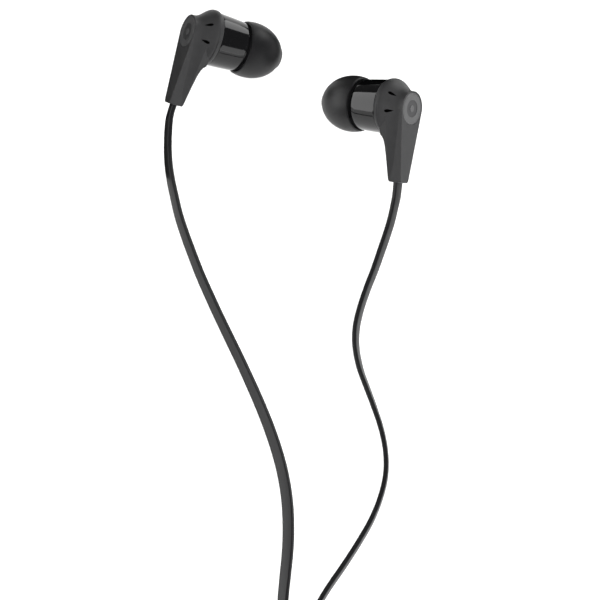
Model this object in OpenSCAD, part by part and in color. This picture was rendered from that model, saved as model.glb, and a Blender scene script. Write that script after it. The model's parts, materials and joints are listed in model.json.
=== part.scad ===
// Wired in-ear earphones: two earbuds resting on their ear tips, with flat cords lying on
// the surface, the spare length wound into a round coil, and a 3.5 mm plug beside it.
// Each earbud is modelled in its own frame: +X runs along the ear axis from the outer face
// to the ear tip, -Z runs down the stem, and Y is the width. Millimetres throughout.

/* [Earbud face and stem] */
// Radius of the rounded top of the outer face
face_r = 3.85; // [3.4:0.05:4.7]
// Distance from the disc's centre down to the end of the stem
stem_drop = 16.2; // [13:0.1:20]
// Plastic beside the cord at the end of the stem
stem_side = 0.25; // [0.2:0.05:0.5]
// Front to back depth of the stem at its end
stem_end_depth = 3.3; // [2.8:0.1:4.2]
// Wall of the moulded housing
shell_wall = 0.8; // [0.6:0.05:1]
// Radius of the round badge disc in the face
disc_r = 3.45; // [2.5:0.05:3.5]
// Thickness of the badge disc
disc_t = 0.5; // [0.3:0.05:0.6]

/* [Collar and barrel] */
// Widest radius of the flared collar
collar_r = 6.3; // [6.15:0.05:7.6]
// Distance from the face to the widest part of the collar
collar_u = 5.0; // [4.4:0.1:6]
// Width of the rounded lip behind the widest part
lip_w = 1.0; // [0.8:0.1:1.5]
// Radius of the gloss barrel where it leaves the collar
barrel_r = 5.95; // [5.8:0.05:6.1]
// How much the barrel narrows along its length
barrel_draft = 0.42; // [0:0.02:0.6]
// Length of the gloss barrel
barrel_len = 6.6; // [6.2:0.1:9]
// Wall of the barrel
barrel_wall = 0.7; // [0.5:0.05:0.8]
// Width of the dark groove between barrel and ear tip
groove_w = 0.6; // [0.4:0.1:1]

/* [Nozzle and ear tip] */
// Outer radius of the sound nozzle
nozzle_r = 2.4; // [2:0.05:2.5]
// Bore radius of the sound nozzle
nozzle_bore_r = 1.7; // [1.3:0.05:1.8]
// Length of the nozzle in front of the barrel
nozzle_len = 4.8; // [4:0.1:6]
// Height of the retaining lip on the nozzle
nozzle_lip = 0.2; // [0.1:0.05:0.3]
// Running clearance between the nozzle lip and the ear tip's sleeve
tip_fit = 0.05; // [0.02:0.01:0.1]
// Largest radius of the silicone ear tip
tip_r = 6.2; // [5:0.1:7.4]
// Half length of the ear tip's dome
tip_dome = 7.5; // [6.5:0.1:9]
// Radius of the opening in the ear tip's nose
tip_mouth_r = 1.9; // [1.5:0.1:2.1]
// Thickness of the silicone skirt
tip_skin = 0.6; // [0.4:0.05:0.7]

/* [Driver] */
// Clearance between the driver's frame and the barrel around it
driver_gap = 0.23; // [0.1:0.01:0.5]
// Length of the driver's frame
driver_len = 3.6; // [3:0.1:3.8]
// Radius of the magnet
magnet_r = 1.9; // [1.5:0.1:2.1]
// Radial gap between yoke and pole for the voice coil
coil_gap = 0.6; // [0.5:0.05:0.8]

/* [Cord] */
// Width of the flat cord
cord_w = 2.5; // [2:0.05:2.6]
// Thickness of the flat cord
cord_t = 1.0; // [0.8:0.05:1.1]
// Gap between turns of the coil, side by side
turn_gap = 0.05; // [0.02:0.01:0.2]
// Radius of the innermost turns
coil_inner_r = 11.4; // [11:0.1:13]
// Number of turns of the main lead in each of its two layers
main_turns = 4.5; // [4:0.5:5]

/* [Splitter and tie] */
// Length of the splitter where the two branches join the main lead
splitter_len = 12; // [10:0.5:12]
// Height of the splitter
splitter_h = 3.4; // [3:0.1:4]
// Thickness of the splitter
splitter_t = 3.2; // [3:0.1:3.6]
// Width of the tie around the coil
tie_w = 3; // [2:0.5:5]
// Thickness of the tie
tie_t = 0.35; // [0.3:0.05:0.4]

/* [Plug] */
// Radius of the plug's contacts
plug_r = 1.75; // [1.7:0.01:1.8]
// Length of the plug's contacts from the collar to the tip
plug_len = 14; // [13:0.5:15]
// Outer radius of the plug's moulded body
plug_body_r = 2.75; // [2.6:0.05:3.5]
// Length of the plug's moulded body
plug_body_len = 15; // [12:0.5:20]
// Length of the ribbed strain relief behind the plug
relief_len = 9; // [7:0.5:12]

/* [Hidden] */
$fn = 64;

// Distances along the ear axis, counted from the outer face
lip_u = collar_u + lip_w;
groove_u = lip_u + barrel_len;
tip_base_u = groove_u + groove_w;
tip_centre_u = tip_base_u + 2.3;
nozzle_end_u = tip_base_u + nozzle_len;
driver_u = lip_u + 1;
groove_r = barrel_r - barrel_draft - 0.5;
spigot_r = barrel_r - 0.75;
spigot_len = 1.2;
face_edge = 0.3;
flare_power = 1.3;
stem_end_half_w = cord_w / 2 + stem_side;
turn_pitch = cord_t + turn_gap;
cavity_r = groove_r - barrel_wall + 0.45;
driver_r = cavity_r - driver_gap;
mouth_u = tip_centre_u + tip_dome * sqrt(1 - pow((tip_mouth_r + 0.35) / tip_r, 2));

// How each earbud lies: turned about X, Y and Z in that order, with its disc's centre at x, y
left_turn = [-54.7, 29.9, 0.5];
right_turn = [55.9, 27.9, 155.4];
left_xy = [-23.2, 13.6];
right_xy = [25.8, -5.9];

// Height at which the dome of a tilted ear tip just touches the surface
function rest_height(tilt) = tip_centre_u * sin(tilt)
    + sqrt(pow(tip_dome * sin(tilt), 2) + pow(tip_r * cos(tilt), 2));

function turned_x(turn) = [cos(turn[2]) * cos(turn[1]), sin(turn[2]) * cos(turn[1]), -sin(turn[1])];
function turned_z(turn) = [
    cos(turn[2]) * sin(turn[1]) * cos(turn[0]) + sin(turn[2]) * sin(turn[0]),
    sin(turn[2]) * sin(turn[1]) * cos(turn[0]) - cos(turn[2]) * sin(turn[0]),
    cos(turn[1]) * cos(turn[0])
];

// Point on a placed earbud, at u along its ear axis and drop down its stem
function on_bud(turn, xy, u, drop) = [xy[0], xy[1], rest_height(turn[1])]
    + u * turned_x(turn) - drop * turned_z(turn);

// The cord's routes: [x, y, roll], with roll the tilt of its flat side from level
left_route = [
    [-27.4, -11, -65], [-26.8, -16, -65], [-25.8, -21, -64], [-24.8, -25.5, -64],
    [-23.3, -30.5, -63], [-21.6, -35.5, -62], [-20, -40, -62], [-18, -45, -61],
    [-15.9, -50, -60], [-13.5, -55.5, -58], [-11.3, -60.5, -56], [-9, -66, -53],
    [-7, -71, -50], [-5, -76.5, -46], [-3.3, -82, -42], [-2, -87.5, -38],
    [-1.2, -93, -35], [-0.9, -98.5, -33], [-1, -104, -33], [-1.5, -110, -36],
    [-2, -116, -44], [-2, -122, -58], [-2, -128, -75], [-2.4, -133, -88]
];
right_route = [
    [20.5, -29.5, 71], [19.1, -34, 72], [17.5, -39, 75],
    [15.9, -43.5, 77], [14.4, -48.5, 76], [13.5, -53, 73], [13.4, -57.5, 70],
    [14.2, -62.5, 69], [15.6, -67, 70], [17.2, -72, 73], [18.6, -77, 77], [19.4, -82, 82],
    [19.4, -87, 86], [18.4, -92, 89], [16.4, -97.5, 90], [13.5, -103, 90],
    [10.5, -108, 90], [7, -113.5, 90], [4, -119, 90], [1, -125, 90], [-0.9, -131, 90]
];

coil_xy = [13.7, -139];
coil_lift = tie_t + 0.05;
layer_h = cord_w + 0.1;
coil_outer_r = coil_inner_r + main_turns * turn_pitch;
ring_in = coil_inner_r - cord_t / 2;
ring_out = coil_outer_r + cord_t / 2;
coil_top = coil_lift + 3 * layer_h;
branch_turns = 1.5;
splitter_z = splitter_h / 2 + 0.05;
splitter_y = 6.6;
splitter_x = splitter_len / 2;
inlet_gap = cord_t / 2 + 0.03;

// Heights of the cord's middle on the coil's three layers
function layer_z(layer) = coil_lift + layer_h * (layer - 0.5);

// Height of the cord's middle as it lies on the surface at a roll
function lying(roll) = cord_w / 2 * abs(sin(roll)) + cord_t / 2 * abs(cos(roll));

function laid(route) = [for (p = route) [p[0], p[1], lying(p[2]), p[2]]];

// From the stem's end: straight out, then easing down to the surface
function stem_exit(turn, xy) = on_bud(turn, xy, stem_end_depth / 2, stem_drop);
function out_of_stem(turn, xy, reach) = stem_exit(turn, xy) - reach * turned_z(turn);
function with_roll(p, roll) = [p[0], p[1], p[2], roll];

exit_straight = 3;
left_start = [
    with_roll(out_of_stem(left_turn, left_xy, 0), -59),
    with_roll(out_of_stem(left_turn, left_xy, exit_straight), -62),
    [-27.5, -6, 2.1, -64]
];
right_start = [
    with_roll(out_of_stem(right_turn, right_xy, 0), 59),
    with_roll(out_of_stem(right_turn, right_xy, exit_straight), 63),
    [22, -23.8, 2.7, 67], [21.4, -26.3, 1.8, 69]
];

// A branch leaves the innermost part of its track on an arc that ends at the splitter
function inner_arc_r(track_r, y) =
    (track_r * track_r - splitter_x * splitter_x - y * y) / (2 * (track_r - y));
function inner_arc_start(track_r, y) = atan2(y - inner_arc_r(track_r, y), splitter_x);

function inner_arc(track_r, y, side, z_track, z_end, roll, steps) =
    let(arc = inner_arc_r(track_r, y), first = inner_arc_start(track_r, y))
    [for (i = [0 : steps])
        let(a = first + (90 - first) * i / steps, lift = i / steps)
        [coil_xy[0] + side * (splitter_x + arc * cos(a)), coil_xy[1] + y - arc + arc * sin(a),
         z_track + (z_end - z_track) * lift, roll]];

left_track_end = coil_outer_r - 2 * turn_pitch * branch_turns;
right_track_end = left_track_end - turn_pitch;
left_tail = inner_arc(left_track_end, splitter_y + inlet_gap, 1, layer_z(1), splitter_z, 90, 4);
right_tail = inner_arc(right_track_end, splitter_y - inlet_gap, 1, layer_z(1), splitter_z, 90, 4);
main_rise = 0.6;
main_head = inner_arc(coil_inner_r, splitter_y, -1, splitter_z + main_rise, splitter_z, 90, 4);

// The main lead leaves the top layer's innermost turn, crosses the turns and comes down
lead_x = coil_xy[0] - coil_inner_r;
plug_axis_z = plug_body_r + 0.05;
main_tail = [
    [lead_x, -141, coil_top + 1, 75], [lead_x, -144, coil_top + 1.2, 45], [lead_x, -148, coil_top + 0.9, 10],
    [lead_x, -152, coil_top + 0.5, 0], [lead_x, -157, coil_top - 0.4, 0], [lead_x, -162, coil_top - 2, 0],
    [lead_x, -168, 3.6, 0], [lead_x, -174, plug_axis_z, 0]
];
plug_start = [lead_x, -174, plug_axis_z];

// Sweep of a flat eight-sided section along [x, y, z, roll] points
function unit(v) = v / norm(v);
function xyz(p) = [p[0], p[1], p[2]];
function heading(path, i) = unit(xyz(path[min(i + 1, len(path) - 1)]) - xyz(path[max(i - 1, 0)]));
function side_of(t) = unit(cross(t, [0, 0, 1]));
section_corner = 0.3;
function flat_section(w, t) = [
    [w / 2, t / 2 - section_corner * t], [w / 2, section_corner * t - t / 2],
    [w / 2 - section_corner * t, -t / 2], [section_corner * t - w / 2, -t / 2],
    [-w / 2, section_corner * t - t / 2], [-w / 2, t / 2 - section_corner * t],
    [section_corner * t - w / 2, t / 2], [w / 2 - section_corner * t, t / 2]
];
function ring_at(path, i) =
    let(t = heading(path, i), s = side_of(t), n = cross(s, t), roll = path[i][3])
    [for (q = flat_section(cord_w, cord_t))
        xyz(path[i]) + s * (q[0] * cos(roll) - q[1] * sin(roll))
            + n * (q[0] * sin(roll) + q[1] * cos(roll))];

module flat_cord(path) {
    sides = 8;
    last = len(path) - 1;
    points = [for (i = [0 : last]) each ring_at(path, i)];
    walls = [for (i = [0 : last - 1], k = [0 : sides - 1])
        let(a = i * sides + k, b = i * sides + (k + 1) % sides)
            each [[a, b, b + sides], [a, b + sides, a + sides]]];
    ends = [[for (k = [sides - 1 : -1 : 0]) k], [for (k = [0 : sides - 1]) last * sides + k]];
    polyhedron(points = points, faces = concat(walls, ends), convexity = 4);
}

// Solid of revolution about the ear axis, from points of [radius, u]
module turned(points) {
    rotate([0, 90, 0])
        rotate_extrude()
            polygon(points);
}

// Plain round piece along the ear axis
module disc(r, u0, u1) {
    translate([u0, 0, 0])
        rotate([0, 90, 0])
            cylinder(r = r, h = u1 - u0);
}

module tube(r_out, r_in, u0, u1) {
    difference() {
        disc(r_out, u0, u1);
        disc(r_in, u0 - 1, u1 + 1);
    }
}

module place(turn, xy) {
    translate([xy[0], xy[1], rest_height(turn[1])])
        rotate(turn)
            children();
}

module left() {
    place(left_turn, left_xy) children();
}

module right() {
    place(right_turn, right_xy) children();
}

// Radius of the collar's flare at u: hollow by the face, and rounded over at its widest
function flare(u) = face_r + (collar_r - face_r) * pow(sin(90 * pow(max(u, 0) / collar_u, flare_power)), 2);
flare_steps = 10;
function flare_points(inset, from) = [for (i = [0 : flare_steps])
    let(u = from + (collar_u - from) * i / flare_steps) [flare(u) - inset, u]];

// Four corners of the stem's outline at the end, and the rounded top at the face
module stem_block(inset, bottom) {
    w = stem_end_half_w - inset;
    hull() {
        disc(face_r - inset, inset, inset + 0.1);
        disc(flare(1.7) - inset, 1.7, 1.8);
        translate([inset, -w, -bottom]) cube([0.1, 2 * w, 0.1]);
        translate([stem_end_depth - inset - 0.1, -w, -bottom]) cube([0.1, 2 * w, 0.1]);
    }
}

// Web that carries the stem's back edge into the collar in a hollow curve
module stem_web() {
    web_half = 1.5;
    translate([0, web_half, 0])
        rotate([90, 0, 0])
            linear_extrude(2 * web_half)
                polygon([
                    [1, -3], [collar_u - 0.3, 0.6 - collar_r], [4.4, -7.1], [3.9, -8.6],
                    [stem_end_depth + 0.1, 3.2 - stem_drop], [1, 3.2 - stem_drop]
                ]);
}

vent_u = 2.65;
vent_len = 2;
vent_w = 0.8;
// Two slots on each side of the collar, at angles from the width towards the top
module vents() {
    for (side = [-1, 1], angle = [-12, 33])
        rotate([-side * angle, 0, 0])
            translate([vent_u, side * (face_r + 0.9), 0])
                for (end = [-1, 1])
                    translate([end * (vent_len - vent_w) / 2, 0, 0])
                        rotate([90, 0, 0])
                            cylinder(d = vent_w, h = 3, center = true);
    for (side = [-1, 1], angle = [-12, 33])
        rotate([-side * angle, 0, 0])
            translate([vent_u, side * (face_r + 0.9), 0])
                cube([vent_len - vent_w, 3, vent_w], center = true);
}

module housing() {
    color([0.2, 0.2, 0.21])
        difference() {
            union() {
                turned(concat(
                    [[0, 0], [face_r - face_edge, 0], [face_r, face_edge]],
                    flare_points(0, 0.8),
                    [[collar_r - 0.05, collar_u + 0.5], [barrel_r + 0.05, lip_u], [0, lip_u]]
                ));
                stem_block(0, stem_drop);
                stem_web();
            }
            turned(concat(
                [[0, shell_wall + disc_t], [face_r - shell_wall, shell_wall + disc_t]],
                flare_points(shell_wall, 1.8),
                [[spigot_r + 0.02, lip_u - spigot_len - 0.1], [spigot_r + 0.02, lip_u + 1], [0, lip_u + 1]]
            ));
            disc(disc_r + 0.03, -1, disc_t + 0.03);
            vents();
            stem_core(-0.01);
            grommet_block(0.02);
        }
}

// Straight hollow down the stem, for the cord's end
stem_core_bottom = 2.6;
module stem_core(grow) {
    w = stem_end_half_w - 0.35;
    translate([shell_wall - grow, -w, stem_core_bottom - stem_drop])
        cube([stem_end_depth - 2 * shell_wall + 2 * grow, 2 * w, stem_drop - stem_core_bottom - 2]);
}

grommet_t = 1.8;
module grommet_block(gap) {
    w = stem_end_half_w - 0.12;
    translate([(stem_end_depth - grommet_t) / 2 - gap, -w - gap, -stem_drop - gap])
        cube([grommet_t + 2 * gap, 2 * (w + gap), stem_core_bottom + 2 * gap]);
}

module grommet() {
    color([0.08, 0.08, 0.09])
        difference() {
            grommet_block(0);
            translate([stem_end_depth / 2, 0, -stem_drop])
                cube([cord_t + 0.02, cord_w + 0.02, 3 * stem_core_bottom], center = true);
        }
}

module cord_clamp() {
    clamp_h = 1.4;
    color("silver")
        translate([stem_end_depth / 2, 0, stem_core_bottom - stem_drop + clamp_h / 2 + 0.05])
            difference() {
                cube([stem_end_depth - 2 * shell_wall - 0.1, 1.7, clamp_h], center = true);
                cube([0.6, 1.2, clamp_h + 1], center = true);
            }
}

wire_r = 0.18;
module rod(from, to, r) {
    v = to - from;
    translate(from)
        rotate([0, acos(v[2] / norm(v)), atan2(v[1], v[0])])
            cylinder(r = r, h = norm(v), $fn = 16);
}

module wires() {
    color("firebrick")
        for (side = [-1, 1])
            union() {
                clamp_end = [stem_end_depth / 2, side * 0.3, 4.1 - stem_drop];
                knee = [2, side * 0.3, -3.2];
                bend = [3.4, side * 0.4, -2.2];
                board_end = [board_u - 0.02, side * 0.8, -0.9];
                rod(clamp_end, knee, wire_r);
                rod(knee, bend, wire_r);
                rod(bend, board_end, wire_r);
                translate(knee) sphere(r = wire_r + 0.08, $fn = 24);
                translate(bend) sphere(r = wire_r + 0.08, $fn = 24);
            }
}

module face_disc() {
    color([0.45, 0.45, 0.47])
        difference() {
            disc(disc_r, 0, disc_t);
            difference() {
                disc(disc_r - 0.45, -1, 0.12);
                disc(disc_r - 0.75, -2, 1);
            }
            difference() {
                disc(1.15, -1, 0.12);
                disc(0.75, -2, 1);
            }
        }
}

cavity_end_u = groove_u - 0.5;
module front_barrel() {
    color([0.05, 0.05, 0.06])
        difference() {
            turned([
                [0, lip_u - spigot_len], [spigot_r, lip_u - spigot_len], [spigot_r, lip_u + 0.02],
                [barrel_r, lip_u + 0.02], [barrel_r - barrel_draft, groove_u - 0.25],
                [barrel_r - barrel_draft - 0.25, groove_u], [groove_r, groove_u], [groove_r, tip_base_u],
                [nozzle_r, tip_base_u], [nozzle_r, nozzle_end_u - 1.2],
                [nozzle_r + nozzle_lip, nozzle_end_u - 1], [nozzle_r + nozzle_lip, nozzle_end_u - 0.5],
                [nozzle_r, nozzle_end_u], [0, nozzle_end_u]
            ]);
            disc(cavity_r, lip_u - spigot_len - 1, cavity_end_u);
            disc(nozzle_bore_r, cavity_end_u - 1, nozzle_end_u + 1);
            disc(nozzle_bore_r + 0.25, nozzle_end_u - 0.6, nozzle_end_u + 1);
        }
}

mesh_t = 0.2;
module nozzle_mesh() {
    color("dimgray")
        difference() {
            disc(nozzle_bore_r + 0.23, nozzle_end_u - 0.6, nozzle_end_u - 0.6 + mesh_t);
            for (k = [0 : 5])
                rotate([60 * k, 0, 0])
                    translate([nozzle_end_u - 1, 0, 1])
                        rotate([0, 90, 0])
                            cylinder(r = 0.3, h = 2, $fn = 16);
            disc(0.3, nozzle_end_u - 1, nozzle_end_u + 1);
        }
}

sleeve_in = nozzle_r + nozzle_lip + tip_fit;
sleeve_out = sleeve_in + 0.65;
dome_steps = 12;
// Points on an ellipse about the dome's centre, from its edge towards the nose
function dome(r, half, from_u, to_u, steps) = [for (i = [0 : steps])
    let(a0 = asin((from_u - tip_centre_u) / half), a1 = asin((to_u - tip_centre_u) / half),
        a = a0 + (a1 - a0) * i / steps) [r * cos(a), tip_centre_u + half * sin(a)]];

module ear_tip() {
    sleeve_start = tip_base_u + 0.3;
    sleeve_end = nozzle_end_u + 0.15;
    inner_end = tip_base_u + 5.8;
    edge = 0.25;
    hollow = dome(tip_r - tip_skin, tip_dome - tip_skin, tip_base_u + edge, inner_end, dome_steps);
    color([0.2, 0.2, 0.21])
        turned(concat(
            dome(tip_r, tip_dome, tip_base_u + edge, mouth_u, dome_steps),
            [[tip_mouth_r + 0.1, mouth_u + 0.1], [tip_mouth_r, mouth_u - 0.15]],
            [[tip_mouth_r, sleeve_end], [sleeve_in, sleeve_end], [sleeve_in, sleeve_start]],
            [[sleeve_out, sleeve_start], [sleeve_out, inner_end - 0.4], [sleeve_out + 0.3, inner_end]],
            [for (i = [dome_steps : -1 : 0]) hollow[i]],
            [[tip_r - tip_skin / 2 - 0.35, tip_base_u + 0.05]]
        ));
}

pole_r = magnet_r + 0.1;
yoke_in = pole_r + coil_gap;
yoke_out = yoke_in + 0.55;
yoke_floor = 0.6;
magnet_len = 1.3;
plate_t = 0.5;
driver_front = driver_u + driver_len;

module driver_frame() {
    color("gainsboro")
        difference() {
            disc(driver_r, driver_u, driver_front);
            disc(driver_r - 0.4, driver_u + yoke_floor, driver_front + 1);
            disc(yoke_out + 0.02, driver_u - 1, driver_front);
        }
}

module yoke() {
    color("slategray")
        difference() {
            disc(yoke_out, driver_u, driver_u + yoke_floor + magnet_len + plate_t);
            disc(yoke_in, driver_u + yoke_floor, driver_front);
        }
}

module magnet() {
    color("lightsteelblue")
        disc(magnet_r, driver_u + yoke_floor, driver_u + yoke_floor + magnet_len);
}

module top_plate() {
    color("slategray")
        disc(pole_r, driver_u + yoke_floor + magnet_len, driver_u + yoke_floor + magnet_len + plate_t);
}

diaphragm_u = driver_front - 0.55;
module voice_coil() {
    color("peru")
        tube(pole_r + coil_gap * 0.65, pole_r + coil_gap * 0.3, driver_u + yoke_floor + 0.5, diaphragm_u);
}

module diaphragm() {
    color([0.85, 0.8, 0.6])
        turned([
            [0, diaphragm_u + 0.35], [1.2, diaphragm_u + 0.28], [yoke_in - 0.1, diaphragm_u],
            [yoke_in + 0.3, diaphragm_u + 0.2], [driver_r - 0.42, diaphragm_u],
            [driver_r - 0.42, diaphragm_u + 0.1], [yoke_in + 0.3, diaphragm_u + 0.3],
            [yoke_in - 0.1, diaphragm_u + 0.1], [1.2, diaphragm_u + 0.38], [0, diaphragm_u + 0.45]
        ]);
}

module driver_cover() {
    cover_t = 0.2;
    color("silver")
        difference() {
            disc(driver_r, driver_front + 0.01, driver_front + 0.01 + cover_t);
            for (k = [0 : 5])
                rotate([60 * k, 0, 0])
                    translate([driver_front - 1, 0, 2.4])
                        rotate([0, 90, 0])
                            cylinder(r = 0.6, h = 3, $fn = 24);
            disc(0.8, driver_front - 1, driver_front + 2);
        }
}

board_t = 0.4;
board_u = driver_u - 0.05 - board_t;
module rear_felt() {
    color("lightgray")
        tube(driver_r - 0.2, 2.7, driver_u - 0.26, driver_u - 0.01);
}

module solder_board() {
    color("darkgreen")
        difference() {
            disc(2.5, board_u, board_u + board_t);
            disc(0.4, board_u - 1, board_u + 1);
        }
}

// The three cords: left and right branches, and the main lead
module left_cord() {
    color([0.2, 0.2, 0.21]) {
        flat_cord(concat(left_start, laid(left_route)));
        flat_cord(left_tail);
    }
}

module right_cord() {
    color([0.2, 0.2, 0.21]) {
        flat_cord(concat(right_start, laid(right_route)));
        flat_cord(right_tail);
    }
}

module main_cord() {
    color([0.2, 0.2, 0.21]) {
        flat_cord([for (i = [len(main_head) - 1 : -1 : 0]) main_head[i]]);
        flat_cord(main_tail);
    }
}

module cord_coil() {
    color([0.2, 0.2, 0.21])
        translate([coil_xy[0], coil_xy[1], coil_lift])
            rotate_extrude()
                translate([ring_in, 0])
                    square([ring_out - ring_in, coil_top - coil_lift]);
}

tie_angle = 300;
module coil_tie() {
    gap = 0.15;
    section_w = ring_out - ring_in + 2 * gap;
    section_h = coil_top - coil_lift + 0.1;
    color([0.05, 0.05, 0.05])
        translate([coil_xy[0], coil_xy[1], 0])
            rotate([0, 0, tie_angle]) {
                difference() {
                    translate([ring_in - gap - tie_t, -tie_w / 2, 0])
                        cube([section_w + 2 * tie_t, tie_w, section_h + 2 * tie_t]);
                    translate([ring_in - gap, -tie_w, tie_t])
                        cube([section_w, 2 * tie_w, section_h]);
                }
                translate([ring_out + 0.8, 0, coil_top - 1])
                    rotate([0, 60, 0])
                        cylinder(r = 0.8, h = 7, $fn = 24);
            }
}

// The splitter: two half shells over the soldered joint
module splitter_half(side) {
    half = splitter_h / 2;
    translate([coil_xy[0], coil_xy[1] + splitter_y, splitter_z])
        difference() {
            translate([-splitter_x, -splitter_t / 2, side > 0 ? 0 : -half])
                cube([splitter_len, splitter_t, half]);
            cube([splitter_len - 2, splitter_t - 1, splitter_h - 1.2], center = true);
            translate([splitter_x, 0, 0])
                cube([3, 2 * cord_t + 0.2, cord_w + 0.1], center = true);
            translate([-splitter_x, 0, 0])
                cube([3, cord_t + 0.1, cord_w + 0.1], center = true);
        }
}

module splitter_upper_shell() {
    color([0.1, 0.1, 0.11]) splitter_half(1);
}

module splitter_lower_shell() {
    color([0.1, 0.1, 0.11]) splitter_half(-1);
}

module splitter_joint() {
    color("silver")
        translate([coil_xy[0], coil_xy[1] + splitter_y, splitter_z])
            cube([splitter_len - 3.2, 1.4, 1], center = true);
}

// The plug lies along -Y: a distance is counted from the cord's end of the strain relief
module along_plug(from) {
    translate(plug_start - [0, from, 0])
        rotate([90, 0, 0])
            children();
}

collar_from = relief_len + plug_body_len;
contact_from = collar_from + 1;
sleeve_len = 6.2;
insulator_len = 0.8;
ring_len = 2.4;
tip_from = contact_from + sleeve_len + ring_len + 2 * insulator_len;
tip_len = plug_len - (tip_from - contact_from);
core_r = 0.9;

module contact_ring(from, length) {
    along_plug(from)
        difference() {
            cylinder(r = plug_r, h = length);
            translate([0, 0, -1]) cylinder(r = core_r, h = length + 2);
        }
}

module plug_sleeve() {
    color("gold") contact_ring(contact_from, sleeve_len);
}

module plug_ring() {
    color("gold") contact_ring(contact_from + sleeve_len + insulator_len, ring_len);
}

module plug_insulators() {
    color("black") {
        contact_ring(contact_from + sleeve_len, insulator_len);
        contact_ring(contact_from + sleeve_len + insulator_len + ring_len, insulator_len);
    }
}

module plug_tip() {
    neck_r = plug_r - 0.6;
    bulb_r = plug_r - 0.25;
    color("gold")
        along_plug(tip_from)
            difference() {
                rotate_extrude()
                    polygon([
                        [0, 0], [plug_r, 0], [neck_r, 0.8], [neck_r, 1.1], [bulb_r, 1.9],
                        [bulb_r, 2.2], [0.5, tip_len], [0, tip_len]
                    ]);
                translate([0, 0, -1]) cylinder(r = core_r, h = 1.6);
            }
}

module plug_core() {
    color("ivory")
        along_plug(collar_from - 6)
            cylinder(r = core_r - 0.01, h = tip_from - collar_from + 6.5);
}

module plug_collar() {
    color("gold")
        along_plug(collar_from + 0.01)
            difference() {
                cylinder(r = plug_body_r - 0.35, h = 0.98);
                translate([0, 0, -1]) cylinder(r = core_r, h = 3);
            }
}

module plug_body() {
    bevel = 0.5;
    color([0.08, 0.08, 0.09])
        along_plug(relief_len)
            difference() {
                rotate_extrude()
                    polygon([
                        [0, 0], [plug_body_r - bevel, 0], [plug_body_r, bevel],
                        [plug_body_r, plug_body_len - bevel], [plug_body_r - bevel, plug_body_len],
                        [0, plug_body_len]
                    ]);
                translate([0, 0, plug_body_len - 6.5]) cylinder(r = core_r, h = 8);
                translate([0, 0, 2]) cylinder(r = 1.35, h = plug_body_len - 9);
                cube([cord_w + 0.02, cord_t + 0.02, 6], center = true);
            }
}

module plug_relief() {
    ribs = 5;
    rib_pitch = relief_len / ribs;
    color([0.08, 0.08, 0.09])
        along_plug(0)
            difference() {
                union() {
                    for (k = [0 : ribs - 1])
                        translate([0, 0, k * rib_pitch])
                            cylinder(r = 2 + 0.08 * k, h = rib_pitch * 0.6);
                    cylinder(r = cord_w / 2 + 0.3, h = relief_len - 0.02);
                }
                cube([cord_w + 0.02, cord_t + 0.02, 3 * relief_len], center = true);
            }
}

left() housing();  // left_housing
left() face_disc();  // left_face_disc
left() front_barrel();  // left_front_barrel
left() nozzle_mesh();  // left_nozzle_mesh
left() ear_tip();  // left_ear_tip
left() driver_frame();  // left_driver_frame
left() magnet();  // left_magnet
left() top_plate();  // left_top_plate
left() yoke();  // left_yoke
left() voice_coil();  // left_voice_coil
left() diaphragm();  // left_diaphragm
left() driver_cover();  // left_driver_cover
left() rear_felt();  // left_rear_felt
left() solder_board();  // left_solder_board
left() grommet();  // left_grommet
left() cord_clamp();  // left_cord_clamp
left() wires();  // left_wires
right() housing();  // right_housing
right() face_disc();  // right_face_disc
right() front_barrel();  // right_front_barrel
right() nozzle_mesh();  // right_nozzle_mesh
right() ear_tip();  // right_ear_tip
right() driver_frame();  // right_driver_frame
right() magnet();  // right_magnet
right() top_plate();  // right_top_plate
right() yoke();  // right_yoke
right() voice_coil();  // right_voice_coil
right() diaphragm();  // right_diaphragm
right() driver_cover();  // right_driver_cover
right() rear_felt();  // right_rear_felt
right() solder_board();  // right_solder_board
right() grommet();  // right_grommet
right() cord_clamp();  // right_cord_clamp
right() wires();  // right_wires
left_cord();
right_cord();
main_cord();
cord_coil();
coil_tie();
splitter_upper_shell();
splitter_lower_shell();
splitter_joint();
plug_tip();
plug_ring();
plug_sleeve();
plug_insulators();
plug_core();
plug_collar();
plug_body();
plug_relief();
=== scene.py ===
"""Wired in-ear earphones: the finished look of the two earbuds, their flat cords, the coil and the plug.

Each earbud is modelled in its own frame, in metres: +X along the ear axis from the outer face to
the ear tip, -Z down the stem and Y across. A finished piece is then moved to where the earbud lies.
"""

import json
import math

import bmesh
import bpy
from mathutils import Euler, Matrix, Vector


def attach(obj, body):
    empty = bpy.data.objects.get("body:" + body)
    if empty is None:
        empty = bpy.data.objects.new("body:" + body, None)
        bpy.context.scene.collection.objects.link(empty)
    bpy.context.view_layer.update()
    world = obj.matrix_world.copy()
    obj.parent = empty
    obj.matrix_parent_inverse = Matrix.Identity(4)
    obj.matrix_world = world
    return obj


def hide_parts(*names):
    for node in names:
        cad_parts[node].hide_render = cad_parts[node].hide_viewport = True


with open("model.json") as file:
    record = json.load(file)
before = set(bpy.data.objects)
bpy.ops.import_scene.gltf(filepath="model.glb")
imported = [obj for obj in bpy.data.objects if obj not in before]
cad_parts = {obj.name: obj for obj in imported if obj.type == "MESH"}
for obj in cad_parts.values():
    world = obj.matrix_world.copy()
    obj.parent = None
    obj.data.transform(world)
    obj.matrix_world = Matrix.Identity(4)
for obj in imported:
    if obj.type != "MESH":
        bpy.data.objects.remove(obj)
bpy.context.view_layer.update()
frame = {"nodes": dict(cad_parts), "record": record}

bl_info = {
    "name": "Wired earphones",
    "version": (1, 0, 0),
    "blender": (4, 5, 0),
    "location": "3D View > Sidebar > Earphones",
    "description": "Models two in-ear earbuds with flat cords, a wound lead and a jack plug",
    "category": "Add Mesh",
}

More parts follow.
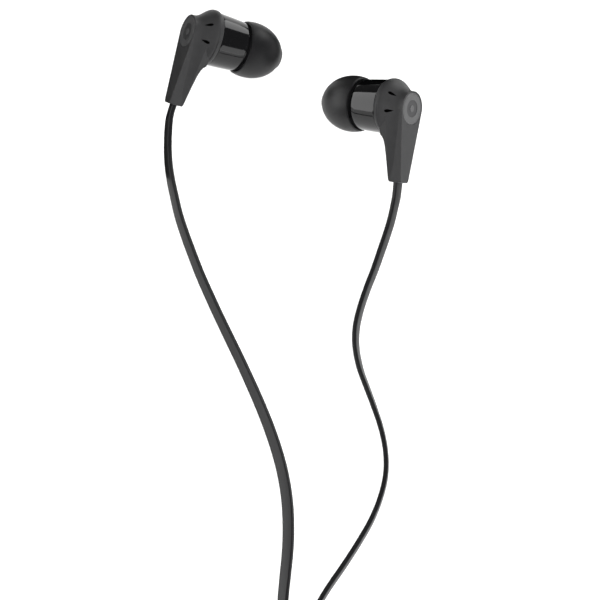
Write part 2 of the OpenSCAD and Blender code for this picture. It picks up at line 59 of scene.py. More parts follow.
MM = 0.001
BODY = "headset"
SIDES = ("left", "right")
MIDDLE = Vector((0.0, 0.005, 0.013))  # between the earbuds, where the lamps point
GRAIN_BUMP = 0.00002

# How finely the housing's outline is drawn, from the stem's foot round to the top
STEM_CORNER = 0.3 * MM
FLAT_POINTS = 4
FOOT_POINTS = 9
FACET_POINTS = 16
WALL_POINTS = 20
ROUND_POINTS = 36

VENT_ANGLES = (-12, 33)
VENT_AT = 2.75 * MM
VENT_SIZE = (2.2 * MM, 3.4 * MM, 1.05 * MM)
VENT_LEAN = 36
SPIGOT_RADIUS = 5.15 * MM
BADGE_DOT = 0.7 * MM
BADGE_INLAY = 1.9 * MM
TIE_ANGLE = 300


# --------------------------------------------------------------------------------------------
# Sizes and colours


def length_property(name, description, millimetres):
    """A length, given in millimetres."""
    return bpy.props.FloatProperty(
        name=name, description=description, default=millimetres * MM, unit="LENGTH"
    )


def colour_property(name, description, default):
    """A colour."""
    return bpy.props.FloatVectorProperty(
        name=name, description=description, subtype="COLOR", default=default
    )


def turn_property(name, description, degrees):
    """A turn about the three axes, given in degrees."""
    return bpy.props.FloatVectorProperty(
        name=name, description=description, subtype="EULER", default=[math.radians(a) for a in degrees]
    )


def place_property(name, description, x, y):
    """A place on the floor, given in millimetres."""
    return bpy.props.FloatVectorProperty(
        name=name, description=description, size=2, default=(x * MM, y * MM)
    )


class EarbudSizes(bpy.types.PropertyGroup):
    """Sizes of one earbud, and how each of the two lies on the surface."""

    face_radius: length_property("Face radius", "Rounded top of the outer face", 3.85)
    stem_drop: length_property("Stem drop", "From the badge's centre to the stem's end", 16.2)
    stem_half_width: length_property("Stem half width", "Half width of the stem at its end", 1.5)
    stem_depth: length_property("Stem depth", "Front to back at the stem's end", 3.3)
    collar_radius: length_property("Collar radius", "Widest part of the flared collar", 6.3)
    collar_at: length_property("Collar distance", "From the face to the widest part", 5.0)
    lip_width: length_property("Lip width", "Rounded lip behind the widest part", 1.0)
    badge_radius: length_property("Badge radius", "Round badge set in the face", 3.45)
    barrel_radius: length_property("Barrel radius", "Gloss barrel where it leaves the collar", 5.92)
    barrel_draft: length_property("Barrel draft", "How much the barrel narrows", 0.4)
    barrel_length: length_property("Barrel length", "Length of the gloss barrel", 6.6)
    groove_width: length_property("Groove width", "Dark groove before the ear tip", 0.6)
    nozzle_radius: length_property("Nozzle radius", "Sound nozzle", 2.4)
    nozzle_length: length_property("Nozzle length", "Nozzle in front of the barrel", 4.8)
    tip_radius: length_property("Ear tip radius", "Largest radius of the ear tip", 6.2)
    tip_dome: length_property("Ear tip dome", "Half length of the ear tip's dome", 7.5)
    tip_mouth: length_property("Ear tip mouth", "Radius of the opening in the nose", 1.9)
    left_turn: turn_property("Left turn", "How the left earbud lies", (-54.7, 29.9, 0.5))
    right_turn: turn_property("Right turn", "How the right earbud lies", (55.9, 27.9, 155.4))
    left_place: place_property("Left place", "Where the left badge lies", -23.2, 13.6)
    right_place: place_property("Right place", "Where the right badge lies", 25.8, -5.9)


class CordSizes(bpy.types.PropertyGroup):
    """Sizes of the flat cord, its coil, its splitter and its plug."""

    width: length_property("Width", "Width of the flat cord", 2.5)
    thickness: length_property("Thickness", "Thickness of the flat cord", 1.0)
    pitch: length_property("Turn pitch", "Between turns side by side", 1.05)
    inner_radius: length_property("Inner radius", "Innermost turns of the coil", 11.4)
    splitter_length: length_property("Splitter length", "Moulding where the branches join", 12)
    plug_radius: length_property("Plug radius", "Contacts of the jack plug", 1.75)
    plug_body_radius: length_property("Plug body radius", "Moulded body of the plug", 2.75)


class Finishes(bpy.types.PropertyGroup):
    """Colours of the moulded, metal and soft parts."""

    shell: colour_property("Shell", "Satin collar and stem", (0.025, 0.025, 0.0256))
    gloss: colour_property("Barrel", "Polished barrel", (0.003, 0.003, 0.0033))
    silicone: colour_property("Ear tip", "Soft ear tip", (0.006, 0.006, 0.0064))
    badge: colour_property("Badge", "Spun metal badge", (0.055, 0.055, 0.056))
    inlay: colour_property("Badge inlay", "Dark ring sunk in the badge", (0.01, 0.01, 0.011))
    cord: colour_property("Cord", "Flat cord's jacket", (0.006, 0.006, 0.0065))
    moulding: colour_property("Moulding", "Splitter, plug body and grommets", (0.018, 0.018, 0.02))
    plating: colour_property("Plating", "Plated contacts", (0.86, 0.64, 0.30))


class StageSettings(bpy.types.PropertyGroup):
    """Camera, floor and lamps."""

    elevation: bpy.props.FloatProperty(
        name="Elevation", description="Camera above the horizon", subtype="ANGLE", default=math.radians(62)
    )
    distance: bpy.props.FloatProperty(
        name="Distance", description="Camera to the middle of its view", default=0.7155, unit="LENGTH"
    )
    lens: bpy.props.FloatProperty(
        name="Lens", description="Focal length in millimetres", default=200.0
    )
    aim: bpy.props.FloatVectorProperty(
        name="Aim", description="Middle of the view, on the floor", size=3,
        default=(1.5 * MM, -45.5 * MM, 0.0),
    )
    ambient: bpy.props.FloatProperty(
        name="Ambient", description="Brightness of the empty studio around", default=0.12
    )
    floor: bpy.props.FloatVectorProperty(
        name="Floor", description="Colour of the floor", subtype="COLOR", default=(0.93, 0.93, 0.93)
    )


# --------------------------------------------------------------------------------------------
# Modelling helpers


def let_go():
    """Leaves edit mode and selects nothing."""
    if bpy.context.object and bpy.context.object.mode != "OBJECT":
        bpy.ops.object.mode_set(mode="OBJECT")
    bpy.ops.object.select_all(action="DESELECT")


def choose(piece):
    """Makes a piece the only one selected, and active."""
    let_go()
    piece.select_set(True)
    bpy.context.view_layer.objects.active = piece


def apply_modifier(piece, kind, **settings):
    """Adds a modifier of that kind, sets it and applies it."""
    choose(piece)
    modifier = piece.modifiers.new(kind.title(), kind)
    for name, value in settings.items():
        setattr(modifier, name, value)
    bpy.ops.object.modifier_apply(modifier=modifier.name)


def recalculate(piece):
    """Merges doubled points and turns every face outwards."""
    choose(piece)
    bpy.ops.object.mode_set(mode="EDIT")
    bpy.ops.mesh.select_all(action="SELECT")
    bpy.ops.mesh.remove_doubles(threshold=1e-6)
    bpy.ops.mesh.normals_make_consistent(inside=False)
    bpy.ops.object.mode_set(mode="OBJECT")


def smooth(piece, angle=30):
    """Smooth shading that keeps edges sharper than an angle crisp."""
    choose(piece)
    bpy.ops.object.shade_smooth_by_angle(angle=math.radians(angle))


def arc(centre, radius, start, end, steps):
    """Points (r, u) on a round corner: start and end are in degrees from the r direction to u."""
    points = []
    for i in range(steps + 1):
        a = math.radians(start + (end - start) * i / steps)
        points.append((centre[0] + radius * math.cos(a), centre[1] + radius * math.sin(a)))
    return points


def turned(name, profile, steps=96):
    """A closed turned piece: one point drawn out along the profile of (r, u), then spun about X."""
    let_go()
    bpy.ops.mesh.primitive_plane_add(size=MM)
    piece = bpy.context.object
    piece.name = name
    bpy.ops.object.mode_set(mode="EDIT")
    bpy.ops.mesh.merge(type="CENTER")
    first = Vector((profile[0][1], 0, profile[0][0]))
    bpy.ops.transform.translate(value=first)
    at = first
    for r, u in profile[1:]:
        to = Vector((u, 0, r))
        bpy.ops.mesh.extrude_region_move(TRANSFORM_OT_translate={"value": to - at})
        at = to
    bpy.ops.mesh.select_all(action="SELECT")
    bpy.ops.mesh.spin(steps=steps, angle=math.tau, center=(0, 0, 0), axis=(1, 0, 0))
    bpy.ops.object.mode_set(mode="OBJECT")
    recalculate(piece)
    return piece


def lofted(name, rings, capped=True):
    """A skin through rings of points: a circle is put on the first ring and drawn out to each next one."""
    let_go()
    bpy.ops.mesh.primitive_circle_add(vertices=len(rings[0]), radius=MM)
    piece = bpy.context.object
    piece.name = name
    bpy.ops.object.mode_set(mode="EDIT")
    mesh = bmesh.from_edit_mesh(piece.data)
    mesh.verts.ensure_lookup_table()
    for vertex, point in zip(mesh.verts, rings[0]):
        vertex.co = point
    if capped:
        bpy.ops.mesh.edge_face_add()
    for before, ring in zip(rings, rings[1:]):
        bpy.ops.mesh.extrude_edges_move()
        mesh = bmesh.from_edit_mesh(piece.data)
        mesh.verts.ensure_lookup_table()
        fresh = [v for v in mesh.verts if v.select]
        places = {tuple(round(c, 9) for c in Vector(p)): i for i, p in enumerate(before)}
        for vertex in fresh:
            vertex.co = ring[places[tuple(round(c, 9) for c in vertex.co)]]
    if capped:
        bpy.ops.mesh.edge_face_add()
    bpy.ops.object.mode_set(mode="OBJECT")
    recalculate(piece)
    return piece


def swept(name, path, rolls, section, along):
    """A closed skin of one section carried along a path, turned by each point's roll."""
    corners = len(section)
    points = []
    for i, middle in enumerate(path):
        ahead = (path[min(i + 1, len(path) - 1)] - path[max(i - 1, 0)]).normalized()
        side = ahead.cross(Vector((0, 0, 1))).normalized()
        over = side.cross(ahead)
        turn = math.radians(rolls[i])
        for x, y in section:
            across = x * math.cos(turn) - y * math.sin(turn)
            up = x * math.sin(turn) + y * math.cos(turn)
            points.append(middle + side * across + over * up)
    faces = []
    for i in range(len(path) - 1):
        for k in range(corners):
            a, b = i * corners + k, i * corners + (k + 1) % corners
            faces.append((a, b, b + corners, a + corners))
    faces.append(tuple(range(corners - 1, -1, -1)))
    faces.append(tuple(range((len(path) - 1) * corners, len(path) * corners)))
    mesh = bpy.data.meshes.new(name)
    mesh.from_pydata(points, [], faces)
    chart = mesh.uv_layers.new(name="along")
    for face in mesh.polygons:
        for loop in face.loop_indices:
            ring, corner = divmod(mesh.loops[loop].vertex_index, corners)
            round_it = corner / corners
            if len(face.vertices) == 4 and corner == 0 and corners - 1 in [
                mesh.loops[n].vertex_index % corners for n in face.loop_indices
            ]:
                round_it = 1.0
            chart.data[loop].uv = (along[ring], round_it)
    piece = bpy.data.objects.new(name, mesh)
    bpy.context.scene.collection.objects.link(piece)
    recalculate(piece)
    return piece


def joined(pieces, name):
    """Several meshes made one piece."""
    choose(pieces[0])
    for piece in pieces[1:]:
        piece.select_set(True)
    bpy.ops.object.join()
    bpy.context.object.name = name
    return bpy.context.object


def remember_place(piece):
    """Keeps each point's place in the earbud's own frame, for patterns that follow the shape."""
    layer = piece.data.attributes.new("own_place", "FLOAT_VECTOR", "POINT")
    for vertex, value in zip(piece.data.vertices, layer.data):
        value.vector = vertex.co


def box_piece(name, size, middle, bevel=0.0, segments=4):
    """A block with rounded edges."""
    let_go()
    bpy.ops.mesh.primitive_cube_add(size=1)
    piece = bpy.context.object
    piece.name = name
    piece.data.transform(Matrix.Translation(Vector(middle)) @ Matrix.Diagonal((*size, 1)))
    if bevel:
        apply_modifier(piece, "BEVEL", width=bevel, segments=segments, limit_method="NONE")
    return piece


def drum(radius, near, far):
    """A round cutter along the ear axis."""
    return turned("cutter", [(0, near), (radius, near), (radius, far), (0, far)])


def combine(piece, cutter, operation="DIFFERENCE"):
    """Cuts or joins with another mesh, which is used up."""
    apply_modifier(piece, "BOOLEAN", operation=operation, solver="EXACT", object=cutter)
    bpy.data.objects.remove(cutter)


def wear(piece, material):
    """Gives a piece that material and no other."""
    piece.data.materials.clear()
    piece.data.materials.append(material)


def finish(piece, material, slot, *nodes, place=None, body=BODY):
    """Moves a modelled piece to its place, gives it its material, hangs it on its body and hides the nodes
    it stands for. The slot is not used.
    """
    if place:
        piece.data.transform(place)
    wear(piece, material)
    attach(piece, body)
    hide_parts(*nodes)


def rest_height(sizes, tilt):
    """How high the badge's centre is when the tilted ear tip's dome just touches the floor."""
    return tip_middle(sizes) * math.sin(tilt) + math.hypot(
        sizes.tip_dome * math.sin(tilt), sizes.tip_radius * math.cos(tilt)
    )


def lip_at(sizes):
    """From the face to the end of the collar's lip."""
    return sizes.collar_at + sizes.lip_width


def groove_at(sizes):
    """From the face to the dark groove."""
    return lip_at(sizes) + sizes.barrel_length


def tip_base(sizes):
    """From the face to the ear tip's open edge."""
    return groove_at(sizes) + sizes.groove_width


def tip_middle(sizes):
    """From the face to the ear tip's widest part."""
    return tip_base(sizes) + 2.3 * MM


def earbud_place(sizes, side):
    """Matrix from an earbud's own frame to where it lies."""
    turn = getattr(sizes, side + "_turn")
    x, y = getattr(sizes, side + "_place")
    at = Vector((x, y, rest_height(sizes, turn[1])))
    return Matrix.Translation(at) @ Euler(turn, "XYZ").to_matrix().to_4x4()


# --------------------------------------------------------------------------------------------
# Materials


def new_material(name):
    """A material with its node tree and its Principled shader."""
    material = bpy.data.materials.new(name)
    material.use_nodes = True
    return material, material.node_tree, material.node_tree.nodes["Principled BSDF"]


def node(tree, kind, inputs=None, out=0, **settings):
    """Adds a node and gives one of its outputs. Each input is a value, or another node's output."""
    made = tree.nodes.new(kind)
    for name, value in settings.items():
        setattr(made, name, value)
    for name, value in (inputs or {}).items():
        if isinstance(value, bpy.types.NodeSocket):
            tree.links.new(value, made.inputs[name])
        else:
            made.inputs[name].default_value = value
    return made.outputs[out]


def grain_group():
    """Shader group: fine mottling and grain from a place, as a varying colour, roughness and normal."""
    name = "Fine grain"
    if name in bpy.data.node_groups:
        return bpy.data.node_groups[name]
    group = bpy.data.node_groups.new(name, "ShaderNodeTree")
    face = group.interface
    face.new_socket("Place", in_out="INPUT", socket_type="NodeSocketVector")
    for label, default in (
        ("Grain Size", 0.15), ("Depth", 0.1), ("Roughness", 0.4), ("Roughness Spread", 0.08),
        ("Mottle", 0.12),
    ):
        face.new_socket(label, in_out="INPUT", socket_type="NodeSocketFloat").default_value = default
    face.new_socket("Base", in_out="INPUT", socket_type="NodeSocketColor")
    for label, kind in (("Color", "Color"), ("Roughness", "Float"), ("Normal", "Vector")):
        face.new_socket(label, in_out="OUTPUT", socket_type="NodeSocket" + kind)
    given = group.nodes.new("NodeGroupInput").outputs
    out = group.nodes.new("NodeGroupOutput").inputs

    # millimetres across the piece, divided by the grain's size
    per_grain = node(group, "ShaderNodeMath", {0: 1000.0, 1: given["Grain Size"]}, operation="DIVIDE")
    at = node(group, "ShaderNodeVectorMath", {0: given["Place"], "Scale": per_grain}, operation="SCALE")

    fine_values = {"Vector": at, "Scale": 1.0, "Detail": 3.0, "Roughness": 0.6}
    fine = node(group, "ShaderNodeTexNoise", fine_values, "Fac")
    bump_values = {"Height": fine, "Strength": given["Depth"], "Distance": GRAIN_BUMP}
    bump = node(group, "ShaderNodeBump", bump_values)

    broad_values = {"Vector": at, "Scale": 0.06, "Detail": 4.0, "Roughness": 0.55}
    broad = node(group, "ShaderNodeTexNoise", broad_values, "Fac")
    low = node(group, "ShaderNodeMath", {0: 1.0, 1: given["Mottle"]}, operation="SUBTRACT")
    high = node(group, "ShaderNodeMath", {0: 1.0, 1: given["Mottle"]}, operation="ADD")
    mottle = node(group, "ShaderNodeMapRange", {
        "Value": broad, "From Min": 0.3, "From Max": 0.7, "To Min": low, "To Max": high,
    })
    tint = node(group, "ShaderNodeVectorMath", {0: given["Base"], "Scale": mottle}, operation="SCALE")

    half_fine = node(group, "ShaderNodeMath", {0: fine, 1: 0.5}, operation="MULTIPLY")
    both = node(group, "ShaderNodeMath", {0: broad, 1: half_fine}, operation="ADD")
    centred = node(group, "ShaderNodeMath", {0: both, 1: 0.75}, operation="SUBTRACT")
    rough_values = {0: centred, 1: given["Roughness Spread"], 2: given["Roughness"]}
    rough = node(group, "ShaderNodeMath", rough_values, operation="MULTIPLY_ADD")

    for value, label in ((tint, "Color"), (rough, "Roughness"), (bump, "Normal")):
        group.links.new(value, out[label])
    return group


def grained(name, colour, grain=0.15, depth=0.1, roughness=0.4, spread=0.08, mottle=0.12, **plain):
    """A material whose colour, roughness and surface vary finely over the piece."""
    if name in bpy.data.materials:
        return bpy.data.materials[name]
    material, tree, shader = new_material(name)
    fine = node(tree, "ShaderNodeGroup", {
        "Place": node(tree, "ShaderNodeTexCoord", out="Object"), "Grain Size": grain, "Depth": depth,
        "Roughness": roughness, "Roughness Spread": spread, "Mottle": mottle, "Base": (*colour, 1.0),
    }, node_tree=grain_group()).node.outputs
    for label, target in (("Color", "Base Color"), ("Roughness", "Roughness"), ("Normal", "Normal")):
        tree.links.new(fine[label], shader.inputs[target])
    for label, value in plain.items():
        shader.inputs[label.replace("_", " ")].default_value = value
    return material


# How each surface in Finishes varies
LOOKS = {
    "shell": dict(
        name="Satin shell", grain=0.12, depth=0.12, roughness=0.42, spread=0.1, mottle=0.06,
        Specular_IOR_Level=0.16,
    ),
    "gloss": dict(
        name="Polished black", grain=0.5, depth=0.0, roughness=0.07, spread=0.05, mottle=0.1,
        Specular_IOR_Level=0.36,
    ),
    "silicone": dict(
        name="Soft silicone", grain=0.25, depth=0.1, roughness=0.46, spread=0.1, mottle=0.1,
        Specular_IOR_Level=0.32,
    ),
    "cord": dict(
        name="Cord jacket", grain=0.2, depth=0.15, roughness=0.45, spread=0.12, mottle=0.12,
        Specular_IOR_Level=0.25,
    ),
    "moulding": dict(
        name="Soft moulding", grain=0.15, depth=0.15, roughness=0.42, spread=0.1, mottle=0.1
    ),
    "plating": dict(
        name="Plated contact", grain=0.3, depth=0.03, roughness=0.18, spread=0.08, mottle=0.05,
        Metallic=1.0,
    ),
}
# Painted shade: near-black on the faces inside the vents, standing in for the shade that the shadowless
# lamps don't cast there
VENT_SHADE_LOOK = dict(
    name="Vent black", colour=(0.001, 0.001, 0.001), grain=0.2, depth=0.05, roughness=0.8,
    spread=0.05, mottle=0.1, Specular_IOR_Level=0.05,
)
# The inner pieces' materials, by slot
INNER_LOOKS = {
    "fine_steel": dict(
        name="Brushed steel", colour=(0.52, 0.52, 0.51), grain=0.2, roughness=0.32, Metallic=1.0
    ),
    "magnet": dict(
        name="Plated magnet", colour=(0.62, 0.62, 0.64), grain=0.3, roughness=0.2, Metallic=1.0
    ),
    "copper": dict(
        name="Enamelled copper", colour=(0.72, 0.34, 0.16), grain=0.1, roughness=0.3, Metallic=0.9
    ),
    "film": dict(
        name="Clear film", colour=(0.72, 0.66, 0.46), grain=0.3, roughness=0.25, Coat_Weight=0.5
    ),
    "felt": dict(
        name="Damping felt", colour=(0.55, 0.54, 0.5), grain=0.08, roughness=0.95, Sheen_Weight=0.5
    ),
    "board": dict(
        name="Solder board", colour=(0.02, 0.16, 0.06), grain=0.2, roughness=0.3, Coat_Weight=0.4
    ),
    "enamel": dict(name="Enamelled wire", colour=(0.42, 0.05, 0.03), grain=0.1, roughness=0.3),
    "insulator": dict(name="Insulator", colour=(0.03, 0.03, 0.03), grain=0.2, roughness=0.35),
}


def look(finish_name):
    """The material of a surface in Finishes, in the colour that is set there."""
    colour = getattr(bpy.context.scene.earphone_finishes, finish_name)
    return grained(colour=colour, **LOOKS[finish_name])


def spun_badge():
    """Satin disc with fine rings turned about its middle, and a dark ring round its centre dot."""
    name = "Spun badge"
    if name in bpy.data.materials:
        return bpy.data.materials[name]
    finishes = bpy.context.scene.earphone_finishes
    material, tree, shader = new_material(name)
    own = node(tree, "ShaderNodeAttribute", out="Vector", attribute_name="own_place")
    flat = node(tree, "ShaderNodeVectorMath", {0: own, 1: (0.0, 1.0, 1.0)}, operation="MULTIPLY")
    reach = node(tree, "ShaderNodeVectorMath", {0: flat}, "Value", operation="LENGTH")
    ring_values = {"W": reach, "Scale": 9000.0, "Detail": 2.0}
    rings = node(tree, "ShaderNodeTexNoise", ring_values, "Fac", noise_dimensions="1D")
    bump = node(tree, "ShaderNodeBump", {"Height": rings, "Strength": 0.12, "Distance": GRAIN_BUMP})
    rough = node(tree, "ShaderNodeMapRange", {"Value": rings, "To Min": 0.3, "To Max": 0.46})
    dark, light = ((*[c * share for c in finishes.badge], 1.0) for share in (0.85, 1.15))
    tone = node(
        tree, "ShaderNodeMix", {"Factor": rings, "A": dark, "B": light}, "Result", data_type="RGBA"
    )
    beyond = node(tree, "ShaderNodeMapRange", {
        "Value": reach, "From Min": BADGE_INLAY, "From Max": BADGE_INLAY + 0.03 * MM,
    })
    within = node(tree, "ShaderNodeMapRange", {
        "Value": reach, "From Min": BADGE_DOT + 0.02 * MM, "From Max": BADGE_DOT + 0.05 * MM,
        "To Min": 1.0, "To Max": 0.0,
    })
    bare = node(tree, "ShaderNodeMath", {0: beyond, 1: within}, operation="MAXIMUM")
    inlay = (*finishes.inlay, 1.0)
    inlaid = node(
        tree, "ShaderNodeMix", {"Factor": bare, "A": inlay, "B": tone}, "Result", data_type="RGBA"
    )
    lustre = node(tree, "ShaderNodeMath", {0: bare, 1: 0.25}, operation="MULTIPLY")
    for value, label in (
        (bump, "Normal"), (rough, "Roughness"), (inlaid, "Base Color"), (lustre, "Metallic")
    ):
        tree.links.new(value, shader.inputs[label])
    return material


# --------------------------------------------------------------------------------------------
# Cord routes: (x, y, roll) in millimetres and degrees, as the cord lies, after a drop of (x, y, z, roll)

LEFT_DROP = [(-27.5, -6, 2.1, -64)]
RIGHT_DROP = [(22, -23.8, 2.7, 67), (21.4, -26.3, 1.8, 69)]
LEFT_ROUTE = [
    (-27.4, -11, -65), (-26.8, -16, -65), (-25.8, -21, -64), (-24.8, -25.5, -64),
    (-23.3, -30.5, -63), (-21.6, -35.5, -62), (-20, -40, -62), (-18, -45, -61),
    (-15.9, -50, -60), (-13.5, -55.5, -58), (-11.3, -60.5, -56), (-9, -66, -53),
    (-7, -71, -50), (-5, -76.5, -46), (-3.3, -82, -42), (-2, -87.5, -38),
    (-1.2, -93, -35), (-0.9, -98.5, -33), (-1, -104, -33), (-1.5, -110, -36),
    (-2, -116, -44), (-2, -122, -58), (-2, -128, -75), (-2.4, -133, -88),
]
RIGHT_ROUTE = [
    (20.5, -29.5, 71), (19.1, -34, 72), (17.5, -39, 75),
    (15.9, -43.5, 77), (14.4, -48.5, 76), (13.5, -53, 73), (13.4, -57.5, 70),
    (14.2, -62.5, 69), (15.6, -67, 70), (17.2, -72, 73), (18.6, -77, 77), (19.4, -82, 82),
    (19.4, -87, 86), (18.4, -92, 89), (16.4, -97.5, 90), (13.5, -103, 90),
    (10.5, -108, 90), (7, -113.5, 90), (4, -119, 90), (1, -125, 90), (-0.9, -131, 90),
]
# The main lead off the coil, with heights from the coil's top, and then down to the plug
TAIL_ROUTE = [
    (-141, 1.0, 75), (-144, 1.2, 45), (-148, 0.9, 10), (-152, 0.5, 0), (-157, -0.4, 0), (-162, -2.0, 0),
]
PLUG_ROUTE = [(-168, 3.6, 0), (-171.5, 3.0, 0), (-174, 2.8, 0)]
PLUG_Y, PLUG_Z, _ = PLUG_ROUTE[-1]
EXIT_ROLL = 59
DROP_ROLLS = {"left": -62, "right": 63}
COIL = Vector((13.7, -139, 0))
COIL_LIFT = 0.4
MAIN_TURNS = 4.5
BRANCH_TURNS = 1.5
ROUND_STEPS = 48
SPLITTER_Y = 6.6
SPLITTER_Z = 1.75
MAIN_RISE = 0.6
CORD_NODES = {
    "cord_left": ["left_cord"],
    "cord_right": ["right_cord"],
    "cord_main": ["main_cord", "cord_coil"],
}


def cord_mm():
    """The cord's sizes in millimetres, with the tracks and layers that follow from them."""
    sizes = bpy.context.scene.earphone_cord
    width, thickness = sizes.width / MM, sizes.thickness / MM
    pitch, inner = sizes.pitch / MM, sizes.inner_radius / MM
    layer = width + 0.1
    return {
        "width": width, "thickness": thickness, "pitch": pitch, "inner": inner,
        "outer": inner + MAIN_TURNS * pitch, "layer": layer,
        "z": [COIL_LIFT + layer * (n + 0.5) for n in range(3)],
        "half": sizes.splitter_length / MM / 2,
    }


def lying(sizes, roll):
    """How high the middle of a cord with that roll is when it lies on the floor."""
    turn = math.radians(roll)
    return sizes["width"] / 2 * abs(math.sin(turn)) + sizes["thickness"] / 2 * abs(math.cos(turn))


def wound(radius_from, radius_to, angle_from, angle_to, z_of, roll):
    """Turns of the coil: the radius changes evenly, and z_of gives the height at an angle."""
    count = max(2, round(abs(angle_to - angle_from) / 360 * ROUND_STEPS))
    points = []
    for i in range(count + 1):
        part = i / count
        angle = angle_from + (angle_to - angle_from) * part
        radius = radius_from + (radius_to - radius_from) * part
        a = math.radians(angle)
        points.append((
            COIL.x + radius * math.cos(a), COIL.y + radius * math.sin(a), z_of(angle), roll,
        ))
    return points


def inner_arc(sizes, radius, y, side, z_track, z_end, roll, steps=14):
    """From a track round to the splitter's end, on an arc that leaves the track smoothly."""
    half = sizes["half"]
    bend = (radius * radius - half * half - y * y) / (2 * (radius - y))
    first = math.degrees(math.atan2(y - bend, half))
    points = []
    for i in range(steps + 1):
        part = i / steps
        a = math.radians(first + (90 - first) * part)
        ease = part * part * (3 - 2 * part)
        points.append((
            COIL.x + side * (half + bend * math.cos(a)), COIL.y + y - bend + bend * math.sin(a),
            z_track + (z_end - z_track) * ease, roll,
        ))
    return first, points


def smooth_run(points, spacing):
    """A smooth curve through given points (x, y, z, roll), sampled evenly."""
    run = []
    last = len(points) - 1
    for i in range(last):
        p0, p1, p2, p3 = points[max(i - 1, 0)], points[i], points[i + 1], points[min(i + 2, last)]
        steps = max(2, round(math.dist(p1[:3], p2[:3]) / spacing))
        for s in range(steps):
            t = s / steps
            run.append(tuple(
                0.5 * (
                    2 * b + (c - a) * t + (2 * a - 5 * b + 4 * c - d) * t * t
                    + (3 * b - a - 3 * c + d) * t ** 3
                )
                for a, b, c, d in zip(p0, p1, p2, p3)
            ))
    run.append(tuple(points[last]))
    return run


def branch_path(sizes, side):
    """One branch from the earbud's stem along the floor, through its turns to the splitter."""
    buds = bpy.context.scene.earphone_sizes
    place = earbud_place(buds, side)
    end = place @ Vector((buds.stem_depth / 2, 0, -buds.stem_drop)) / MM
    down = (place.to_3x3() @ Vector((0, 0, -1))).normalized()
    left = side == "left"
    route = LEFT_ROUTE if left else RIGHT_ROUTE
    sign = -1 if left else 1
    start = [
        (*(end - down * 1.5), EXIT_ROLL * sign), (*end, EXIT_ROLL * sign),
        (*(end + down * 3), DROP_ROLLS[side]), *(LEFT_DROP if left else RIGHT_DROP),
    ]
    laid = [(x, y, lying(sizes, roll), roll) for x, y, roll in route]
    outer = sizes["outer"] - (0 if left else sizes["pitch"])
    track_end = outer - 2 * sizes["pitch"] * BRANCH_TURNS
    gap = (sizes["thickness"] / 2 + 0.03) * (1 if left else -1)
    first, tail = inner_arc(
        sizes, track_end, SPLITTER_Y + gap, 1, sizes["z"][0], SPLITTER_Z, 90 * sign
    )
    turn_end = 180 + 360 * BRANCH_TURNS + first
    turns = wound(outer, track_end, 180, turn_end, lambda angle: sizes["z"][0], 90 * sign)
    run = smooth_run(start + laid + turns[:2], 1.0)[:-1]
    floor_run = [(x, y, max(z, lying(sizes, roll)), roll) for x, y, z, roll in run]
    return floor_run + turns[1:-1] + tail


def main_path(sizes):
    """The main lead from the splitter, out through two layers of turns and down to the plug."""
    inner, outer, z = sizes["inner"], sizes["outer"], sizes["z"]
    low = SPLITTER_Z + MAIN_RISE
    top = COIL_LIFT + 3 * sizes["layer"]
    lifted = top + 0.7
    first, head = inner_arc(sizes, inner, SPLITTER_Y, -1, low, SPLITTER_Z, 90)
    head.reverse()
    start = 180 - first
    rise_end = start + 80
    out_end = start + 360 * MAIN_TURNS
    step_end = out_end + 90
    back_end = 180 + 360 * 2 * MAIN_TURNS
    lift_from = back_end - 70

    def eased(angle_from, angle_to, z_from, z_to):
        """Height at an angle, easing from one height to another between two angles."""
        def height(angle):
            part = min(max((angle - angle_from) / (angle_to - angle_from), 0), 1)
            return z_from + (z_to - z_from) * part * part * (3 - 2 * part)
        return height

    rising = wound(inner, outer, start, out_end, eased(start, rise_end, low, z[1]), 90)
    step = wound(outer, outer, out_end, step_end, eased(out_end, step_end, z[1], z[2]), 90)
    back = wound(outer, inner, step_end, back_end, eased(lift_from, back_end, z[2], lifted), 90)
    x = COIL.x - inner
    tail = [(x, y, top + above, roll) for y, above, roll in TAIL_ROUTE]
    tail = smooth_run(back[-2:] + tail + [(x, *point) for point in PLUG_ROUTE], 1.0)
    return head[:-1] + rising[:-1] + step[:-1] + back[:-2] + tail


def flat_section(sizes):
    """The jacket's section: a flat bar with small round corners."""
    w, t = sizes["width"] / 2, sizes["thickness"] / 2
    corner = 0.22
    points = []
    for sx, sy, start in ((1, 1, 0), (-1, 1, 90), (-1, -1, 180), (1, -1, 270)):
        for i in range(4):
            a = math.radians(start + 30 * i)
            points.append((
                (sx * (w - corner) + corner * math.cos(a)) * MM,
                (sy * (t - corner) + corner * math.sin(a)) * MM,
            ))
    return points


def cord_runs():
    """Each cord's run, in millimetres with the roll in degrees."""
    sizes = cord_mm()
    return {
        "cord_left": branch_path(sizes, "left"),
        "cord_right": branch_path(sizes, "right"),
        "cord_main": main_path(sizes),
    }


def make_cord(name, run):
    """One flat cord along its run."""
    path = [Vector(p[:3]) * MM for p in run]
    rolls = [p[3] for p in run]
    along = [0.0]
    for a, b in zip(path, path[1:]):
        along.append(along[-1] + (b - a).length)
    piece = swept(name, path, rolls, flat_section(cord_mm()), along)
    smooth(piece, 40)
    finish(piece, look("cord"), "cord", *CORD_NODES[name])


class EARPHONES_OT_cords(bpy.types.Operator):
    """Lay the two branches and the main lead, with their spare length wound into the coil"""

    bl_idname = "earphones.cords"
    bl_label = "Cords"

    def execute(self, context):
        for name, run in cord_runs().items():
            make_cord(name, run)
        return {"FINISHED"}


class EARPHONES_OT_cord_facts(bpy.types.Operator):
    """Work out where each branch leaves its earbud's stem; nothing is said or kept"""

    bl_idname = "earphones.cord_facts"
    bl_label = "Cord facts"

    def execute(self, context):
        buds = context.scene.earphone_sizes
        for name, run in cord_runs().items():
            side = name.removeprefix("cord_")
            if side in SIDES:
                stem_end = Vector((buds.stem_depth / 2, 0, -buds.stem_drop))
                exit_point = earbud_place(buds, side) @ stem_end
        return {"FINISHED"}


# --------------------------------------------------------------------------------------------
# Stage


